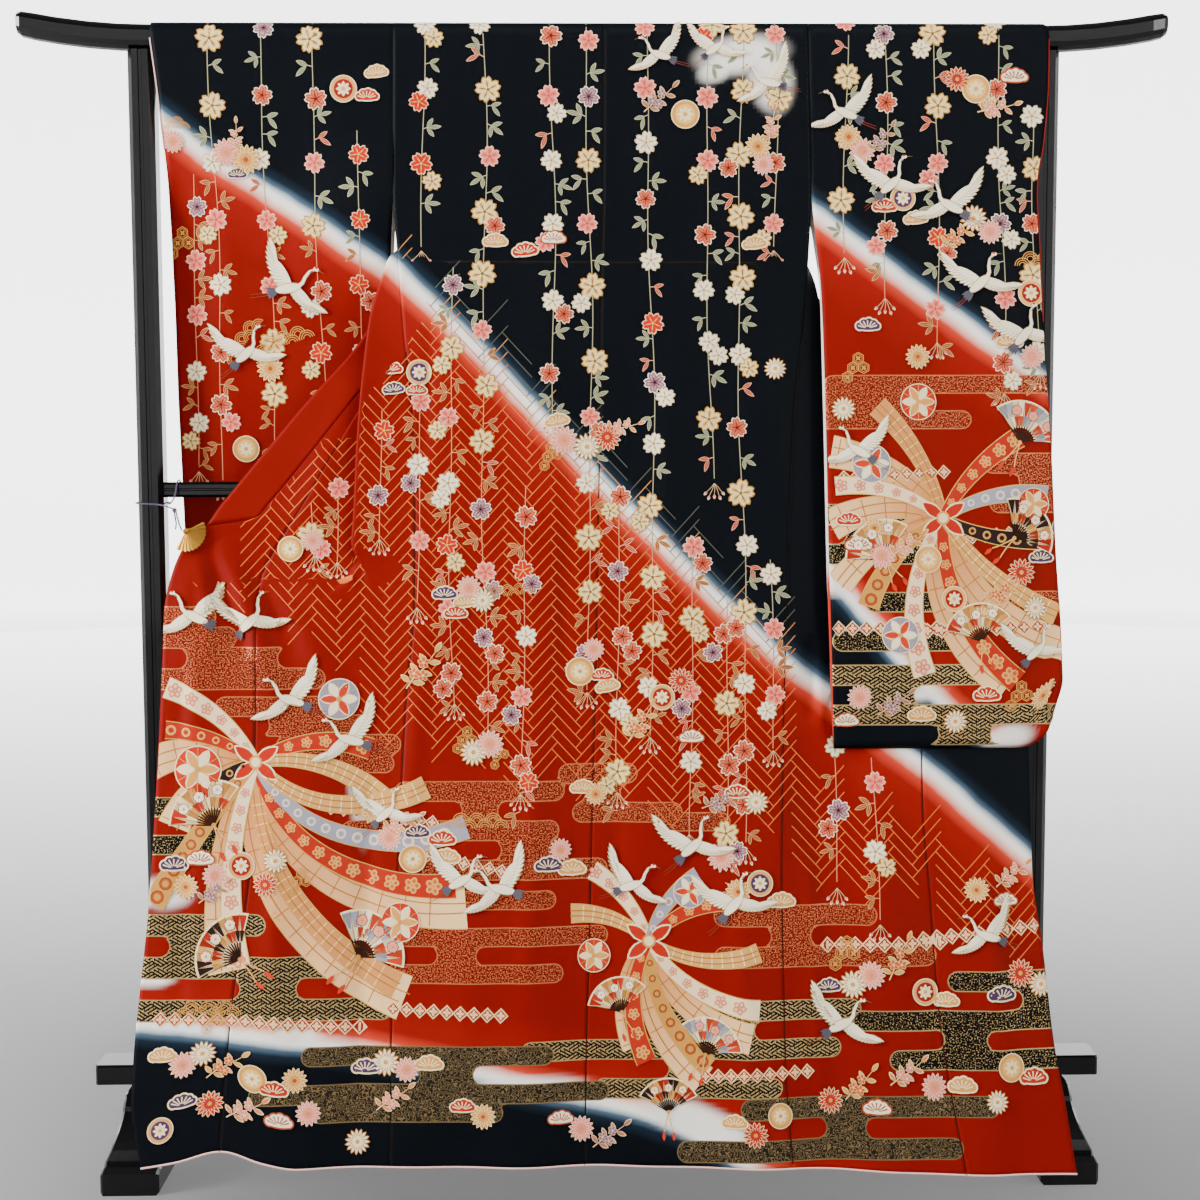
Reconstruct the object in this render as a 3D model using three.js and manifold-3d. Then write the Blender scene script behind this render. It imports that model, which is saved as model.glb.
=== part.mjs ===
// A long-sleeved furisode spread back-first over a black lacquered kimono stand.
// Millimetres, +X to the right, +Y away from the viewer, +Z up, the feet stand on z = 0.
import * as THREE from "three";
import { mergeVertices } from "three/addons/utils/BufferGeometryUtils.js";
import Module from "manifold-3d";

const wasm = await Module();
wasm.setup();

// Driving dimensions of the stand
const RAIL_RADIUS = 19.5;
const RAIL_AXIS_Z = 1668.5;
const RAIL_HALF_LENGTH = 850;
const RAIL_STRAIGHT_HALF = 655;
const RAIL_TIP_RISE = 21;
const POST_X = 668;
const POST_WIDTH = 38;
const POST_BEVEL = 7;
const GROOVE_DEPTH = 1.6;
const GROOVE_WIDTH = 6;
const MID_RAIL_Z = 1005;
const MID_RAIL_HEIGHT = 23;
const MID_RAIL_DEPTH = 22;
const BEAM_HALF_LENGTH = 770;
const BEAM_DEPTH = 60;
const BEAM_BOTTOM = 98;
const BEAM_TOP = 128;
const FOOT_X = 676;
const FOOT_WIDTH = 84;
const FOOT_HALF_DEPTH = 203;
const FOOT_TOE_HEIGHT = 33;
const FOOT_BEVEL = 4;
const JOINT_GAP = 0.3;

// Driving dimensions of the cloth
const CLOTH = 2;
const CLOTH_CLEARANCE = 0.7;
const DRAPE_RADIUS = RAIL_RADIUS + CLOTH_CLEARANCE + CLOTH / 2;
const QUARTER = (DRAPE_RADIUS * Math.PI) / 2;
const SEAM_GAP = 0.5;
const HEM_LEVEL = 35;
const DROP = 1640;
const LEAN = 60;
const FLARE = 130;
const FOLD_RADIUS = 3;
const COLLAR_WIDTH = 52;
const NECK_START = 4;
const ARMPIT = 1338;
const SLEEVE_BOTTOM = 625;
const SLEEVE_CORNER = 50;
const SLEEVE_EDGE_GAP = 2.8;

// Small numeric helpers

const lerp = (from, to, t) => from + (to - from) * t;

function smooth(from, to, value) {
  const t = Math.min(1, Math.max(0, (value - from) / (to - from)));
  return t * t * (3 - 2 * t);
}

// A table has named columns and one row per level, from the top down. Between the rows a column
// follows a cubic that never overshoots its rows.
function tableOf(columns, rows) {
  const keys = rows.map((row) => row[0]);
  const curves = {};
  columns.forEach((name, index) => {
    const values = rows.map((row) => row[index]);
    const slopes = keys.slice(1).map((key, i) => (values[i + 1] - values[i]) / (key - keys[i]));
    const tangents = values.map((_, i) => {
      const before = slopes[Math.max(0, i - 1)];
      const after = slopes[Math.min(slopes.length - 1, i)];
      return before * after <= 0 ? 0 : (2 * before * after) / (before + after);
    });
    curves[name] = (level) => {
      const last = keys.length - 2;
      let i = 0;
      while (i < last && level < keys[i + 1]) i += 1;
      const span = keys[i + 1] - keys[i];
      const t = Math.min(1, Math.max(0, (level - keys[i]) / span));
      const low = values[i] * (1 + 2 * t) * (1 - t) ** 2 + tangents[i] * span * t * (1 - t) ** 2;
      const high = values[i + 1] * t * t * (3 - 2 * t) + tangents[i + 1] * span * t * t * (t - 1);
      return low + high;
    };
  });
  return curves;
}

// Where the cloth lies: it falls from the rail and leans out over the feet towards the viewer
function nearDepth(level) {
  const q = (RAIL_AXIS_Z - level) / DROP;
  return -(DRAPE_RADIUS + LEAN * q + FLARE * q * q);
}

// Centre back seam and the side edges of the body
const BACK = tableOf(["level", "centre", "sideLeft", "sideRight"], [
  [1668.5, 12, -297, 313],
  [1440, 10, -299, 317],
  [1338, 7, -292, 312],
  [1230, 5, -284, 303],
  [1136, 4, -274, 292],
  [988, 1, -269, 283],
  [842, -2, -270, 277],
  [698, -6, -282, 271],
  [552, -11, -290, 267],
  [400, -15, -296, 264],
  [189, -22, -303, 265],
  [HEM_LEVEL, -25, -303, 274],
]);

// Height of the hem along X, with the notch where the left okumi is sewn on
const HEM = tableOf(["x", "z"], [
  [684, 19],
  [522, 21],
  [269, 32],
  [-25, 39],
  [-431, 41],
  [-485, 50],
  [-543, 66],
  [-608, 51],
  [-657, 43],
]);

// The two fronts. Each hangs behind the rail, is folded at "turn", comes forward through the gap
// under the arm, is pleated at "fold" and spreads in the near plane. "seam" joins the okumi, or
// the collar above the okumi. The Y columns are measured back from the near plane. "folded" and
// "turned" say how far the pleat and the turned-back layer are formed.
const FRONT_COLUMNS = [
  "level", "fold", "turn", "seam", "sideY", "foldY", "turnY", "seamY", "folded", "turned",
];
const FRONT_LEFT = tableOf(FRONT_COLUMNS, [
  [1668.5, -286, -150, -93, 41.8, 41.8, 41.8, 41.8, 0, 0],
  [1610, -287, -104, -94, 46, 46, 46, 46, 0, 0.1],
  [1500, -287, -104, -137, 50, 50, 51, 57, 0, 1],
  [1440, -289, -114, -172, 48, 51, 54, 62, 0, 1],
  [1390, -296, -126, -196, 26, 44, 54, 62, 0.5, 1],
  [1338, -306, -146, -222, 0, 1, 48, 58, 1, 1],
  [1262, -330, -190, -260, 0, -3, 34, 45, 1, 1],
  [1217, -337, -211, -280, 0, -3, 26, 36, 1, 1],
  [1136, -346, -259, -344, 0, -3, 17, 23, 1, 1],
  [1056, -352, -291, -393, 0, -3, 14, 19, 1, 1],
  [987, -355, -315, -433, 0, -3, 12, 15, 1, 1],
  [930, -359, -336, -468, 0, -3, 10, 11, 1, 1],
  [876, -362, -352, -495, 0, -2, 5, 6, 0.6, 0.6],
  [830, -364, -360, -501, 0, -1, 2, 2, 0, 0],
  [740, -370, -366, -501, 0, 0, 0, 0, 0, 0],
  [613, -376, -372, -502, 0, 0, 0, 0, 0, 0],
  [456, -384, -380, -508, 0, 0, 0, 0, 0, 0],
  [249, -392, -388, -533, 0, 0, 0, 0, 0, 0],
  [HEM_LEVEL, -394, -390, -545, 0, 0, 0, 0, 0, 0],
]);
const FRONT_RIGHT = tableOf(FRONT_COLUMNS, [
  [1668.5, 302, 170, 113, 41.8, 41.8, 41.8, 41.8, 0, 0],
  [1610, 303, 123, 113, 46, 46, 46, 46, 0, 0.1],
  [1500, 304, 119, 152, 50, 50, 51, 57, 0, 1],
  [1440, 306, 128, 186, 48, 51, 54, 62, 0, 1],
  [1390, 312, 140, 212, 30, 44, 54, 62, 0.4, 1],
  [1338, 317, 155, 238, 6, 14, 50, 60, 0.9, 1],
  [1295, 323, 174, 258, 0, 7, 43, 54, 1, 1],
  [1262, 332, 194, 275, 0, 11, 37, 48, 1, 1],
  [1217, 341, 220, 305, 0, 13, 32, 41, 1, 1],
  [1136, 350, 265, 364, 0, 13, 28, 35, 1, 1],
  [1056, 356, 295, 410, 0, 13, 25, 31, 1, 1],
  [987, 360, 320, 448, 0, 13, 24, 28, 1, 1],
  [928, 362, 333, 466, 0, 12, 23, 26, 1, 1],
  [876, 364, 339, 474, 0, 12, 22, 24, 1, 1],
  [740, 366, 347, 475, 0, 10, 18, 20, 1, 1],
  [690, 364, 356, 474, 0, 6, 8, 12, 0.5, 0.5],
  [640, 362, 358, 473, 0, 1, 2, 4, 0, 0],
  [549, 360, 356, 472, 0, 0, 0, 0, 0, 0],
  [402, 358, 354, 481, 0, 0, 0, 0, 0, 0],
  [240, 362, 358, 491, 0, 0, 0, 0, 0, 0],
  [HEM_LEVEL, 376, 372, 523, 0, 0, 0, 0, 0, 0],
]);

// Outer edge of each okumi: along the collar seam above the collar's end, free below it
const OKUMI_COLUMNS = ["level", "edge", "edgeY"];
const OKUMI_LEFT = tableOf(OKUMI_COLUMNS, [
  [1390, -203, 63],
  [1338, -233, 56],
  [1262, -274, 42],
  [1217, -297, 34],
  [1136, -362, 22],
  [1056, -425, 18],
  [987, -482, 13],
  [962, -505, 8],
  [950, -584, 0],
  [876, -626, 0],
  [830, -635, 0],
  [740, -638, 0],
  [640, -642, 0],
  [405, -654, 0],
  [198, -671, 0],
  [128, -673, 0],
  [HEM_LEVEL, -657, 0],
]);
const OKUMI_RIGHT = tableOf(OKUMI_COLUMNS, [
  [1390, 219, 63],
  [1338, 247, 60],
  [1295, 271, 53],
  [1262, 290, 47],
  [1217, 322, 41],
  [1136, 382, 35],
  [1056, 442, 31],
  [987, 495, 28],
  [940, 531, 27],
  [928, 600, 26],
  [876, 620, 25],
  [740, 631, 20],
  [640, 632, 6],
  [456, 632, 0],
  [329, 646, 0],
  [203, 658, 0],
  [132, 670, 0],
  [HEM_LEVEL, 684, 0],
]);

// Brim of the collar, its outer edge down each front. It rolls over once near the neck point,
// and "drop" sets it lower than the seam.
const BRIM_COLUMNS = ["level", "edge", "edgeY", "drop"];
const BRIM_LEFT = tableOf(BRIM_COLUMNS, [
  [1650, -46, 47, 18],
  [1610, -60, 84, 14],
  [1570, -105, 104, 12],
  [1530, -162, 88, 6],
  [1500, -192, 70, 2],
  [1390, -258, 60, 0],
  [1338, -287, 33, 0],
  [1262, -328, 25, 0],
  [1217, -357, 27, 0],
  [1136, -428, 21, 0],
  [1056, -495, 16, 0],
  [987, -552, 9, 1],
  [962, -574, 1, 10],
]);
const BRIM_RIGHT = tableOf(BRIM_COLUMNS, [
  [1650, 66, 47, 18],
  [1610, 80, 84, 14],
  [1570, 121, 104, 12],
  [1530, 177, 88, 6],
  [1500, 205, 70, 2],
  [1390, 272, 56, 0],
  [1338, 301, 40, 0],
  [1295, 328, 36, 0],
  [1262, 354, 39, 0],
  [1217, 389, 37, 0],
  [1136, 451, 34, 0],
  [1056, 512, 30, 0],
  [987, 564, 27, 1],
  [940, 600, 26, 10],
]);

// Sleeves: inner and outer edges of the near and far walls, and the depth of each wall
const SLEEVE_COLUMNS = [
  "level", "inner", "outerNear", "outerFar", "nearInY", "farInY", "nearOutY", "farOutY", "bag",
];
const SLEEVE_LEFT = tableOf(SLEEVE_COLUMNS, [
  [1668.5, -297, -652, -652, -21, 21, -21, 21, 1],
  [1560, -298, -640, -640, -25.5, 22, -20, 24, 1],
  [1440, -299, -633, -633, -31.8, 19.5, -9, 27, 0.6],
  [1344, -305, -633, -633, -15, 26, -2, 30, 0],
  [1268, -306, -632, -632, 0, 33, 3, 33, 0],
  [1166, -306, -632, -632, 8, 38, 9, 37, 0],
  [1020, -306, -630, -630, 17, 43, 17, 43, 0],
  [900, -305, -627, -627, 19, 42, 19, 42, 0],
  [760, -303, -624, -624, 22, 38, 22, 38, 0],
  [SLEEVE_BOTTOM, -302, -620, -620, 26, 32, 26, 32, 0],
]);
const SLEEVE_RIGHT = tableOf(SLEEVE_COLUMNS, [
  [1668.5, 313, 669, 656, -21, 21, -21, 21, 1],
  [1600, 314.3, 668, 645, -23.8, 22, -25, 20, 1],
  [1520, 315.7, 662, 641, -27.3, 22, -29, 12, 1],
  [1440, 317.2, 653, 640, -32.2, 19.5, -33, -8, 0.6],
  [1370, 323, 655, 643, -40, -14, -42, -27, 0.3],
  [1296, 329, 657, 657, -55, -41, -52, -40, 0],
  [1208, 332, 661, 661, -66, -45, -62, -45, 0],
  [1060, 335, 669, 669, -81, -57, -78, -57, 0],
  [912, 337, 674, 674, -96, -71, -93, -71, 0],
  [765, 340, 680, 680, -112, -90, -110, -91, 0],
  [700, 341, 680, 680, -117, -99, -116, -101, 0],
  [SLEEVE_BOTTOM, 342.5, 664, 664, -119, -113, -119, -113, 0],
]);

// Main creases on the near side: a trough (positive depth) or ridge from one point to another
const CREASE_COLUMNS = ["fromX", "fromZ", "toX", "toZ", "depth", "width"];
const CREASES = [
  [-578, 925, -508, 760, 13, 15],
  [-560, 930, -462, 690, -9, 24],
  [-600, 900, -590, 640, -6, 20],
  [-500, 905, -420, 640, 6, 30],
  [-350, 1180, -455, 900, -5, 26],
  [312, 790, 313, 665, 8, 13],
  [285, 640, 330, 380, 5, 26],
  [400, 600, 420, 250, -5, 34],
  [590, 600, 606, 200, 4, 26],
  [-120, 1500, -130, 900, 3, 36],
  [150, 1520, 140, 820, -3, 44],
  [-180, 560, -200, 80, -6, 40],
  [90, 520, 110, 60, 5, 48],
  [-420, 480, -440, 60, 5, 30],
].map((row) => Object.fromEntries(CREASE_COLUMNS.map((name, i) => [name, row[i]])));

function creaseDepth(x, z) {
  let depth = 0;
  for (const crease of CREASES) {
    const runX = crease.toX - crease.fromX;
    const runZ = crease.toZ - crease.fromZ;
    const along = ((x - crease.fromX) * runX + (z - crease.fromZ) * runZ) / (runX ** 2 + runZ ** 2);
    if (along <= 0 || along >= 1) continue;
    const aside = Math.abs((x - crease.fromX) * runZ - (z - crease.fromZ) * runX) / Math.hypot(runX, runZ);
    depth += crease.depth * Math.sin(Math.PI * along) ** 0.7 * Math.exp(-((aside / crease.width) ** 2));
  }
  return depth;
}

// Slow waves that hanging cloth gathers towards its hem. "lean" slants a wave on its way down.
const WAVES = [
  { height: 4, reach: 52, phase: 1.1, lean: 0 },
  { height: 2.5, reach: 27, phase: 0.4, lean: 2 },
];

function drapeWave(x, z) {
  const q = (RAIL_AXIS_Z - z) / DROP;
  return WAVES.reduce((sum, { height, reach, phase, lean }) => (
    sum + q * height * Math.sin(x / reach + phase + lean * q)
  ), 0);
}

function onNearPlane(x, level, back) {
  const z = level + (HEM.z(x) - HEM_LEVEL) * smooth(300, HEM_LEVEL, level);
  const overFoot = smooth(FOOT_X - 110, FOOT_X - 40, Math.abs(x)) * smooth(300, 80, level);
  const relief = (creaseDepth(x, z) + drapeWave(x, z)) * smooth(1500, 1250, level) * (1 - 0.8 * overFoot);
  return new THREE.Vector3(x, nearDepth(level) + back + relief, z);
}

// A point on the cloth that lies over the rail, at a length measured from its ridge
function overRail(x, length, lift = 0) {
  const angle = Math.min(QUARTER, Math.max(-QUARTER, length)) / DRAPE_RADIUS;
  const below = Math.max(0, Math.abs(length) - QUARTER);
  const radius = DRAPE_RADIUS + lift;
  return new THREE.Vector3(x, radius * Math.sin(angle), RAIL_AXIS_Z + radius * Math.cos(angle) - below);
}

// Geometry builders

function meshFrom(positions, triangles) {
  const geometry = new THREE.BufferGeometry();
  geometry.setAttribute("position", new THREE.Float32BufferAttribute(positions, 3));
  geometry.setIndex(triangles);
  return geometry;
}

function signedVolume(positions, triangles) {
  let volume = 0;
  const corner = (index) => new THREE.Vector3().fromArray(positions, index * 3);
  for (let i = 0; i < triangles.length; i += 3) {
    volume += corner(triangles[i]).dot(corner(triangles[i + 1]).cross(corner(triangles[i + 2])));
  }
  return volume / 6;
}

function outwardMesh(positions, triangles) {
  if (signedVolume(positions, triangles) < 0) {
    for (let i = 0; i < triangles.length; i += 3) {
      const second = triangles[i + 1];
      triangles[i + 1] = triangles[i + 2];
      triangles[i + 2] = second;
    }
  }
  return meshFrom(positions, triangles);
}

// A wall of even thickness on a grid of middle points. A ring closes on itself along its rows.
function wallGeometry(grid, thickness, ring = false) {
  const rows = grid.length;
  const columns = grid[0].length;
  const rowAt = (i) => (ring ? (i + rows) % rows : Math.min(rows - 1, Math.max(0, i)));
  const columnAt = (j) => Math.min(columns - 1, Math.max(0, j));
  const positions = [];
  for (const side of [0.5, -0.5]) {
    for (let i = 0; i < rows; i += 1) {
      for (let j = 0; j < columns; j += 1) {
        const alongRow = grid[i][columnAt(j + 1)].clone().sub(grid[i][columnAt(j - 1)]);
        const alongColumn = grid[rowAt(i + 1)][j].clone().sub(grid[rowAt(i - 1)][j]);
        const normal = alongRow.cross(alongColumn).normalize();
        positions.push(...grid[i][j].clone().addScaledVector(normal, side * thickness).toArray());
      }
    }
  }
  const front = (i, j) => rowAt(i) * columns + j;
  const behind = (i, j) => rows * columns + front(i, j);
  const triangles = [];
  const quad = (a, b, c, d) => triangles.push(a, b, c, a, c, d);
  const lastRow = ring ? rows : rows - 1;
  for (let i = 0; i < lastRow; i += 1) {
    for (let j = 0; j < columns - 1; j += 1) {
      quad(front(i, j), front(i, j + 1), front(i + 1, j + 1), front(i + 1, j));
      quad(behind(i, j), behind(i + 1, j), behind(i + 1, j + 1), behind(i, j + 1));
    }
    quad(front(i, 0), front(i + 1, 0), behind(i + 1, 0), behind(i, 0));
    const j = columns - 1;
    quad(front(i + 1, j), front(i, j), behind(i, j), behind(i + 1, j));
  }
  if (!ring) {
    for (let j = 0; j < columns - 1; j += 1) {
      quad(front(0, j + 1), front(0, j), behind(0, j), behind(0, j + 1));
      const i = rows - 1;
      quad(front(i, j), front(i, j + 1), behind(i, j + 1), behind(i, j));
    }
  }
  return outwardMesh(positions, triangles);
}

// A solid through closed outlines with the same number of corners, with a flat cap at each end
function loftGeometry(sections) {
  const corners = sections[0].length;
  const positions = sections.flat().flatMap((point) => point.toArray());
  const triangles = [];
  for (let i = 0; i < sections.length - 1; i += 1) {
    for (let j = 0; j < corners; j += 1) {
      const next = (j + 1) % corners;
      const a = i * corners + j;
      const b = i * corners + next;
      triangles.push(a, b, b + corners, a, b + corners, a + corners);
    }
  }
  const capEnd = (sectionIndex, flip) => {
    const points = sections[sectionIndex];
    const middle = points.reduce((sum, p) => sum.add(p), new THREE.Vector3()).divideScalar(corners);
    const centre = positions.length / 3;
    positions.push(...middle.toArray());
    for (let j = 0; j < corners; j += 1) {
      const a = sectionIndex * corners + j;
      const b = sectionIndex * corners + ((j + 1) % corners);
      if (flip) triangles.push(centre, b, a);
      else triangles.push(centre, a, b);
    }
  };
  capEnd(0, true);
  capEnd(sections.length - 1, false);
  return outwardMesh(positions, triangles);
}

function toManifold(geometry) {
  const bare = geometry.clone();
  bare.deleteAttribute("normal");
  bare.deleteAttribute("uv");
  const merged = mergeVertices(bare, 1e-4);
  return new wasm.Manifold(new wasm.Mesh({
    numProp: 3,
    vertProperties: new Float32Array(merged.attributes.position.array),
    triVerts: new Uint32Array(merged.index.array),
  }));
}

function fromManifold(solid) {
  const mesh = solid.getMesh();
  return meshFrom([...mesh.vertProperties], [...mesh.triVerts]);
}

function joined(geometries) {
  return fromManifold(geometries.map(toManifold).reduce((sum, next) => sum.add(next)));
}

// Body panels: back and front of one side are one length of cloth that goes over the shoulder

const BACK_LEVELS = [HEM_LEVEL, 190, 370, 550, 740, 930, 1130, ARMPIT, 1440, 1560];
const UPPER_LEVELS = [1610, 1560, 1500, 1440, 1390, ARMPIT, 1295, 1262, 1217, 1136, 1056, 987];
const LOWER_LEVELS = [876, 830, 740, 640, 520, 390, 260, 140, HEM_LEVEL];
const OKUMI_TOP = 1390;
const RIDGE_STEPS = 8;
const PLEAT_SHARES = [0, 0.5, 1];
const LAYER_SHARES = [0, 0.5, 1];
const BEND_ANGLES = [Math.PI * 0.3, Math.PI * 0.7];
const INNER_SHARES = [0, 0.33, 0.67, 1];
const SHORT_STEP = 12;

const LEFT = {
  hand: -1, side: BACK.sideLeft, front: FRONT_LEFT, okumi: OKUMI_LEFT, brim: BRIM_LEFT, collarEnd: 962,
};
const RIGHT = {
  hand: 1, side: BACK.sideRight, front: FRONT_RIGHT, okumi: OKUMI_RIGHT, brim: BRIM_RIGHT, collarEnd: 940,
};

const frontLevels = ({ collarEnd }) => [...UPPER_LEVELS, collarEnd, collarEnd - SHORT_STEP, ...LOWER_LEVELS];

// The side edge runs straight between the levels of the back, so that both panels share it
function sideEdge(half, level) {
  const upper = BACK_LEVELS.find((mark) => mark >= level) ?? RAIL_AXIS_Z;
  const lower = BACK_LEVELS.findLast((mark) => mark <= level);
  const share = upper === lower ? 0 : (level - lower) / (upper - lower);
  return lerp(half.side(lower), half.side(upper), share);
}

// The folded course of a front at one level, from its side edge to its okumi seam
function frontRow(half, level) {
  const { hand, front } = half;
  const sewn = level <= ARMPIT ? 1 : -1;
  const side = sideEdge(half, level) + (sewn * hand * SEAM_GAP) / 2;
  const seam = front.seam(level) - (hand * SEAM_GAP) / 2;
  const fold = front.fold(level);
  const turn = front.turn(level);
  const sideY = front.sideY(level);
  const foldY = front.foldY(level);
  const turnY = front.turnY(level);
  const seamY = front.seamY(level);
  const course = PLEAT_SHARES.map((share) => [lerp(side, fold, share), lerp(sideY, foldY, share)]);
  for (const angle of BEND_ANGLES) {
    const bulge = hand * FOLD_RADIUS * Math.sin(angle);
    course.push([fold + bulge, foldY + FOLD_RADIUS * (1 - Math.cos(angle))]);
  }
  for (const share of LAYER_SHARES) {
    const y = lerp(foldY + 2 * FOLD_RADIUS, turnY - FOLD_RADIUS, share);
    course.push([lerp(fold, turn, share), y]);
  }
  for (const angle of BEND_ANGLES) {
    const bulge = -hand * FOLD_RADIUS * Math.sin(angle);
    course.push([turn + bulge, turnY - FOLD_RADIUS * Math.cos(angle)]);
  }
  const innerStart = course.length;
  for (const share of INNER_SHARES) {
    course.push([lerp(turn, seam, share), lerp(turnY + FOLD_RADIUS, seamY, share)]);
  }
  return course.map(([x, y], index) => {
    const toTurn = Math.min(1, index / (innerStart - 1));
    const straight = index < innerStart ? [lerp(side, turn, toTurn), lerp(sideY, turnY, toTurn)] : [x, y];
    const folded = front.folded(level);
    const pleated = [lerp(straight[0], x, folded), lerp(straight[1], y, folded)];
    const share = index / (course.length - 1);
    const turned = front.turned(level);
    const courseX = lerp(lerp(side, seam, share), pleated[0], turned);
    const courseY = lerp(lerp(sideY, seamY, share), pleated[1], turned);
    return onNearPlane(courseX, level, courseY);
  });
}

// How far past the ridge of the rail the neckline lies at each ridge step
const ridgeLength = (step) => lerp(-QUARTER, QUARTER, step / RIDGE_STEPS);

function neckX(half, length) {
  const middle = BACK.centre(RAIL_AXIS_Z) + (half.hand * SEAM_GAP) / 2;
  const neckPoint = half.front.seam(RAIL_AXIS_Z) - (half.hand * SEAM_GAP) / 2;
  return lerp(middle, neckPoint, smooth(NECK_START, QUARTER, length));
}

function bodyPanel(half) {
  const count = frontRow(half, HEM_LEVEL).length;
  const shares = Array.from({ length: count }, (_, index) => index / (count - 1));
  const inset = (half.hand * SEAM_GAP) / 2;
  const grid = BACK_LEVELS.map((level) => {
    const centre = BACK.centre(level) + inset;
    return shares.map((share) => onNearPlane(lerp(half.side(level) - inset, centre, share), level, 0));
  });
  const side = half.side(RAIL_AXIS_Z) - inset;
  for (let step = 0; step <= RIDGE_STEPS; step += 1) {
    const length = ridgeLength(step);
    const inner = neckX(half, length);
    grid.push(shares.map((share) => overRail(lerp(side, inner, share), length)));
  }
  for (const level of frontLevels(half)) grid.push(frontRow(half, level));
  return grid;
}

const OKUMI_SHARES = [0, 0.25, 0.5, 0.75, 1];

function okumiPanel(half) {
  const levels = frontLevels(half).filter((level) => level <= OKUMI_TOP);
  return levels.map((level) => {
    const seam = half.front.seam(level) + (half.hand * SEAM_GAP) / 2;
    const edge = half.okumi.edge(level);
    const seamY = half.front.seamY(level);
    const edgeY = half.okumi.edgeY(level);
    return OKUMI_SHARES.map((share) => onNearPlane(lerp(seam, edge, share), level, lerp(seamY, edgeY, share)));
  });
}

// The collar is one strip: down the left front, round the back neck, down the right front
const COLLAR_SHARES = [0, 0.14, 0.28, 0.42, 0.56, 0.78, 1];
const ROLL_CLEARANCE = 1.6;
const NECK_LIFT = 1;

function collarFrontRow(half, level) {
  const besideOkumi = level <= OKUMI_TOP;
  const seam = besideOkumi ? half.okumi.edge(level) : half.front.seam(level);
  const seamY = besideOkumi ? half.okumi.edgeY(level) : half.front.seamY(level);
  const rolled = smooth(1440, 1500, level);
  const aside = half.hand * lerp(SEAM_GAP, -ROLL_CLEARANCE, smooth(1500, 1630, level));
  const behind = 2 * ROLL_CLEARANCE * rolled * (1 - smooth(1590, 1650, level));
  return COLLAR_SHARES.map((share) => {
    const x = lerp(seam + aside, half.brim.edge(level), share);
    const point = onNearPlane(x, level, lerp(seamY + behind, half.brim.edgeY(level), share));
    point.z -= half.brim.drop(level) * share;
    if (level === half.collarEnd) point.z += SEAM_GAP;
    return point;
  });
}

function collarNeckRow(x, length) {
  return COLLAR_SHARES.map((share) => {
    const point = overRail(x, length + ROLL_CLEARANCE + COLLAR_WIDTH * share, NECK_LIFT);
    point.y += share;
    return point;
  });
}

const ROLL_LEVELS = [1650, 1630, 1610, 1590, 1570, 1550, 1530, 1500, 1440];

function collarGrid() {
  const down = (half) => {
    const sewn = frontLevels(half).filter((level) => level <= OKUMI_TOP && level >= half.collarEnd);
    return [...ROLL_LEVELS, ...sewn].map((level) => collarFrontRow(half, level));
  };
  const neckLeft = [7, 6, 5].map(ridgeLength).map((length) => collarNeckRow(neckX(LEFT, length), length));
  const neckRight = [6, 7].map(ridgeLength).map((length) => collarNeckRow(neckX(RIGHT, length), length));
  return [...down(LEFT).reverse(), ...neckLeft, ...neckRight, ...down(RIGHT)];
}

// Sleeves: each is a bag, a ring of cloth over the rail that is closed along its bottom fold
const SLEEVE_LEVELS = [
  1630, 1585, 1520, 1440, 1400, 1344, 1296, 1208, 1120, 1020, 912, 800, 720, 670, 640,
];
const SLEEVE_SHARES = [0, 0.06, 0.22, 0.4, 0.58, 0.76, 0.9, 0.97, 1];

const SLEEVE_RIPPLE = { height: 2.2, reach: 33, lean: 260 };

// The outer bottom corner of a sleeve is round. It stops just short of a full quarter circle.
function sleeveBottom(x, sleeve) {
  const outer = Math.abs(sleeve.outerNear(SLEEVE_BOTTOM));
  const into = Math.max(0, Math.min(SLEEVE_CORNER, Math.abs(x) - (outer - SLEEVE_CORNER)));
  return SLEEVE_CORNER - Math.sqrt(SLEEVE_CORNER ** 2 - into ** 2 * 0.98);
}

function sleevePoint(sleeve, level, share, wall) {
  const near = wall === "near";
  const outer = near ? sleeve.outerNear(level) : sleeve.outerFar(level);
  const inner = sleeve.inner(level) + (Math.sign(outer) * SEAM_GAP) / 2;
  const x = lerp(inner, outer, share);
  const innerY = near ? sleeve.nearInY(level) : sleeve.farInY(level);
  const outerY = near ? sleeve.nearOutY(level) : sleeve.farOutY(level);
  const open = lerp(innerY, outerY, smooth(0, 0.6, share));
  const middle = (sleeve.nearOutY(level) + sleeve.farOutY(level)) / 2;
  const sewn = middle + (near ? -1 : 1) * (SLEEVE_EDGE_GAP / 2);
  const closing = smooth(0.72, 1, share) * (1 - sleeve.bag(level));
  const { height, reach, lean } = SLEEVE_RIPPLE;
  const ripple = height * Math.sin(x / reach + level / lean) * smooth(1500, 1200, level);
  const settle = 1 - smooth(0.7, 1, share) - smooth(760, SLEEVE_BOTTOM, level) * 0.8;
  const z = level + sleeveBottom(x, sleeve) * smooth(800, SLEEVE_BOTTOM, level);
  return new THREE.Vector3(x, lerp(open, sewn, closing) + ripple * Math.max(0, settle), z);
}

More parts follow.
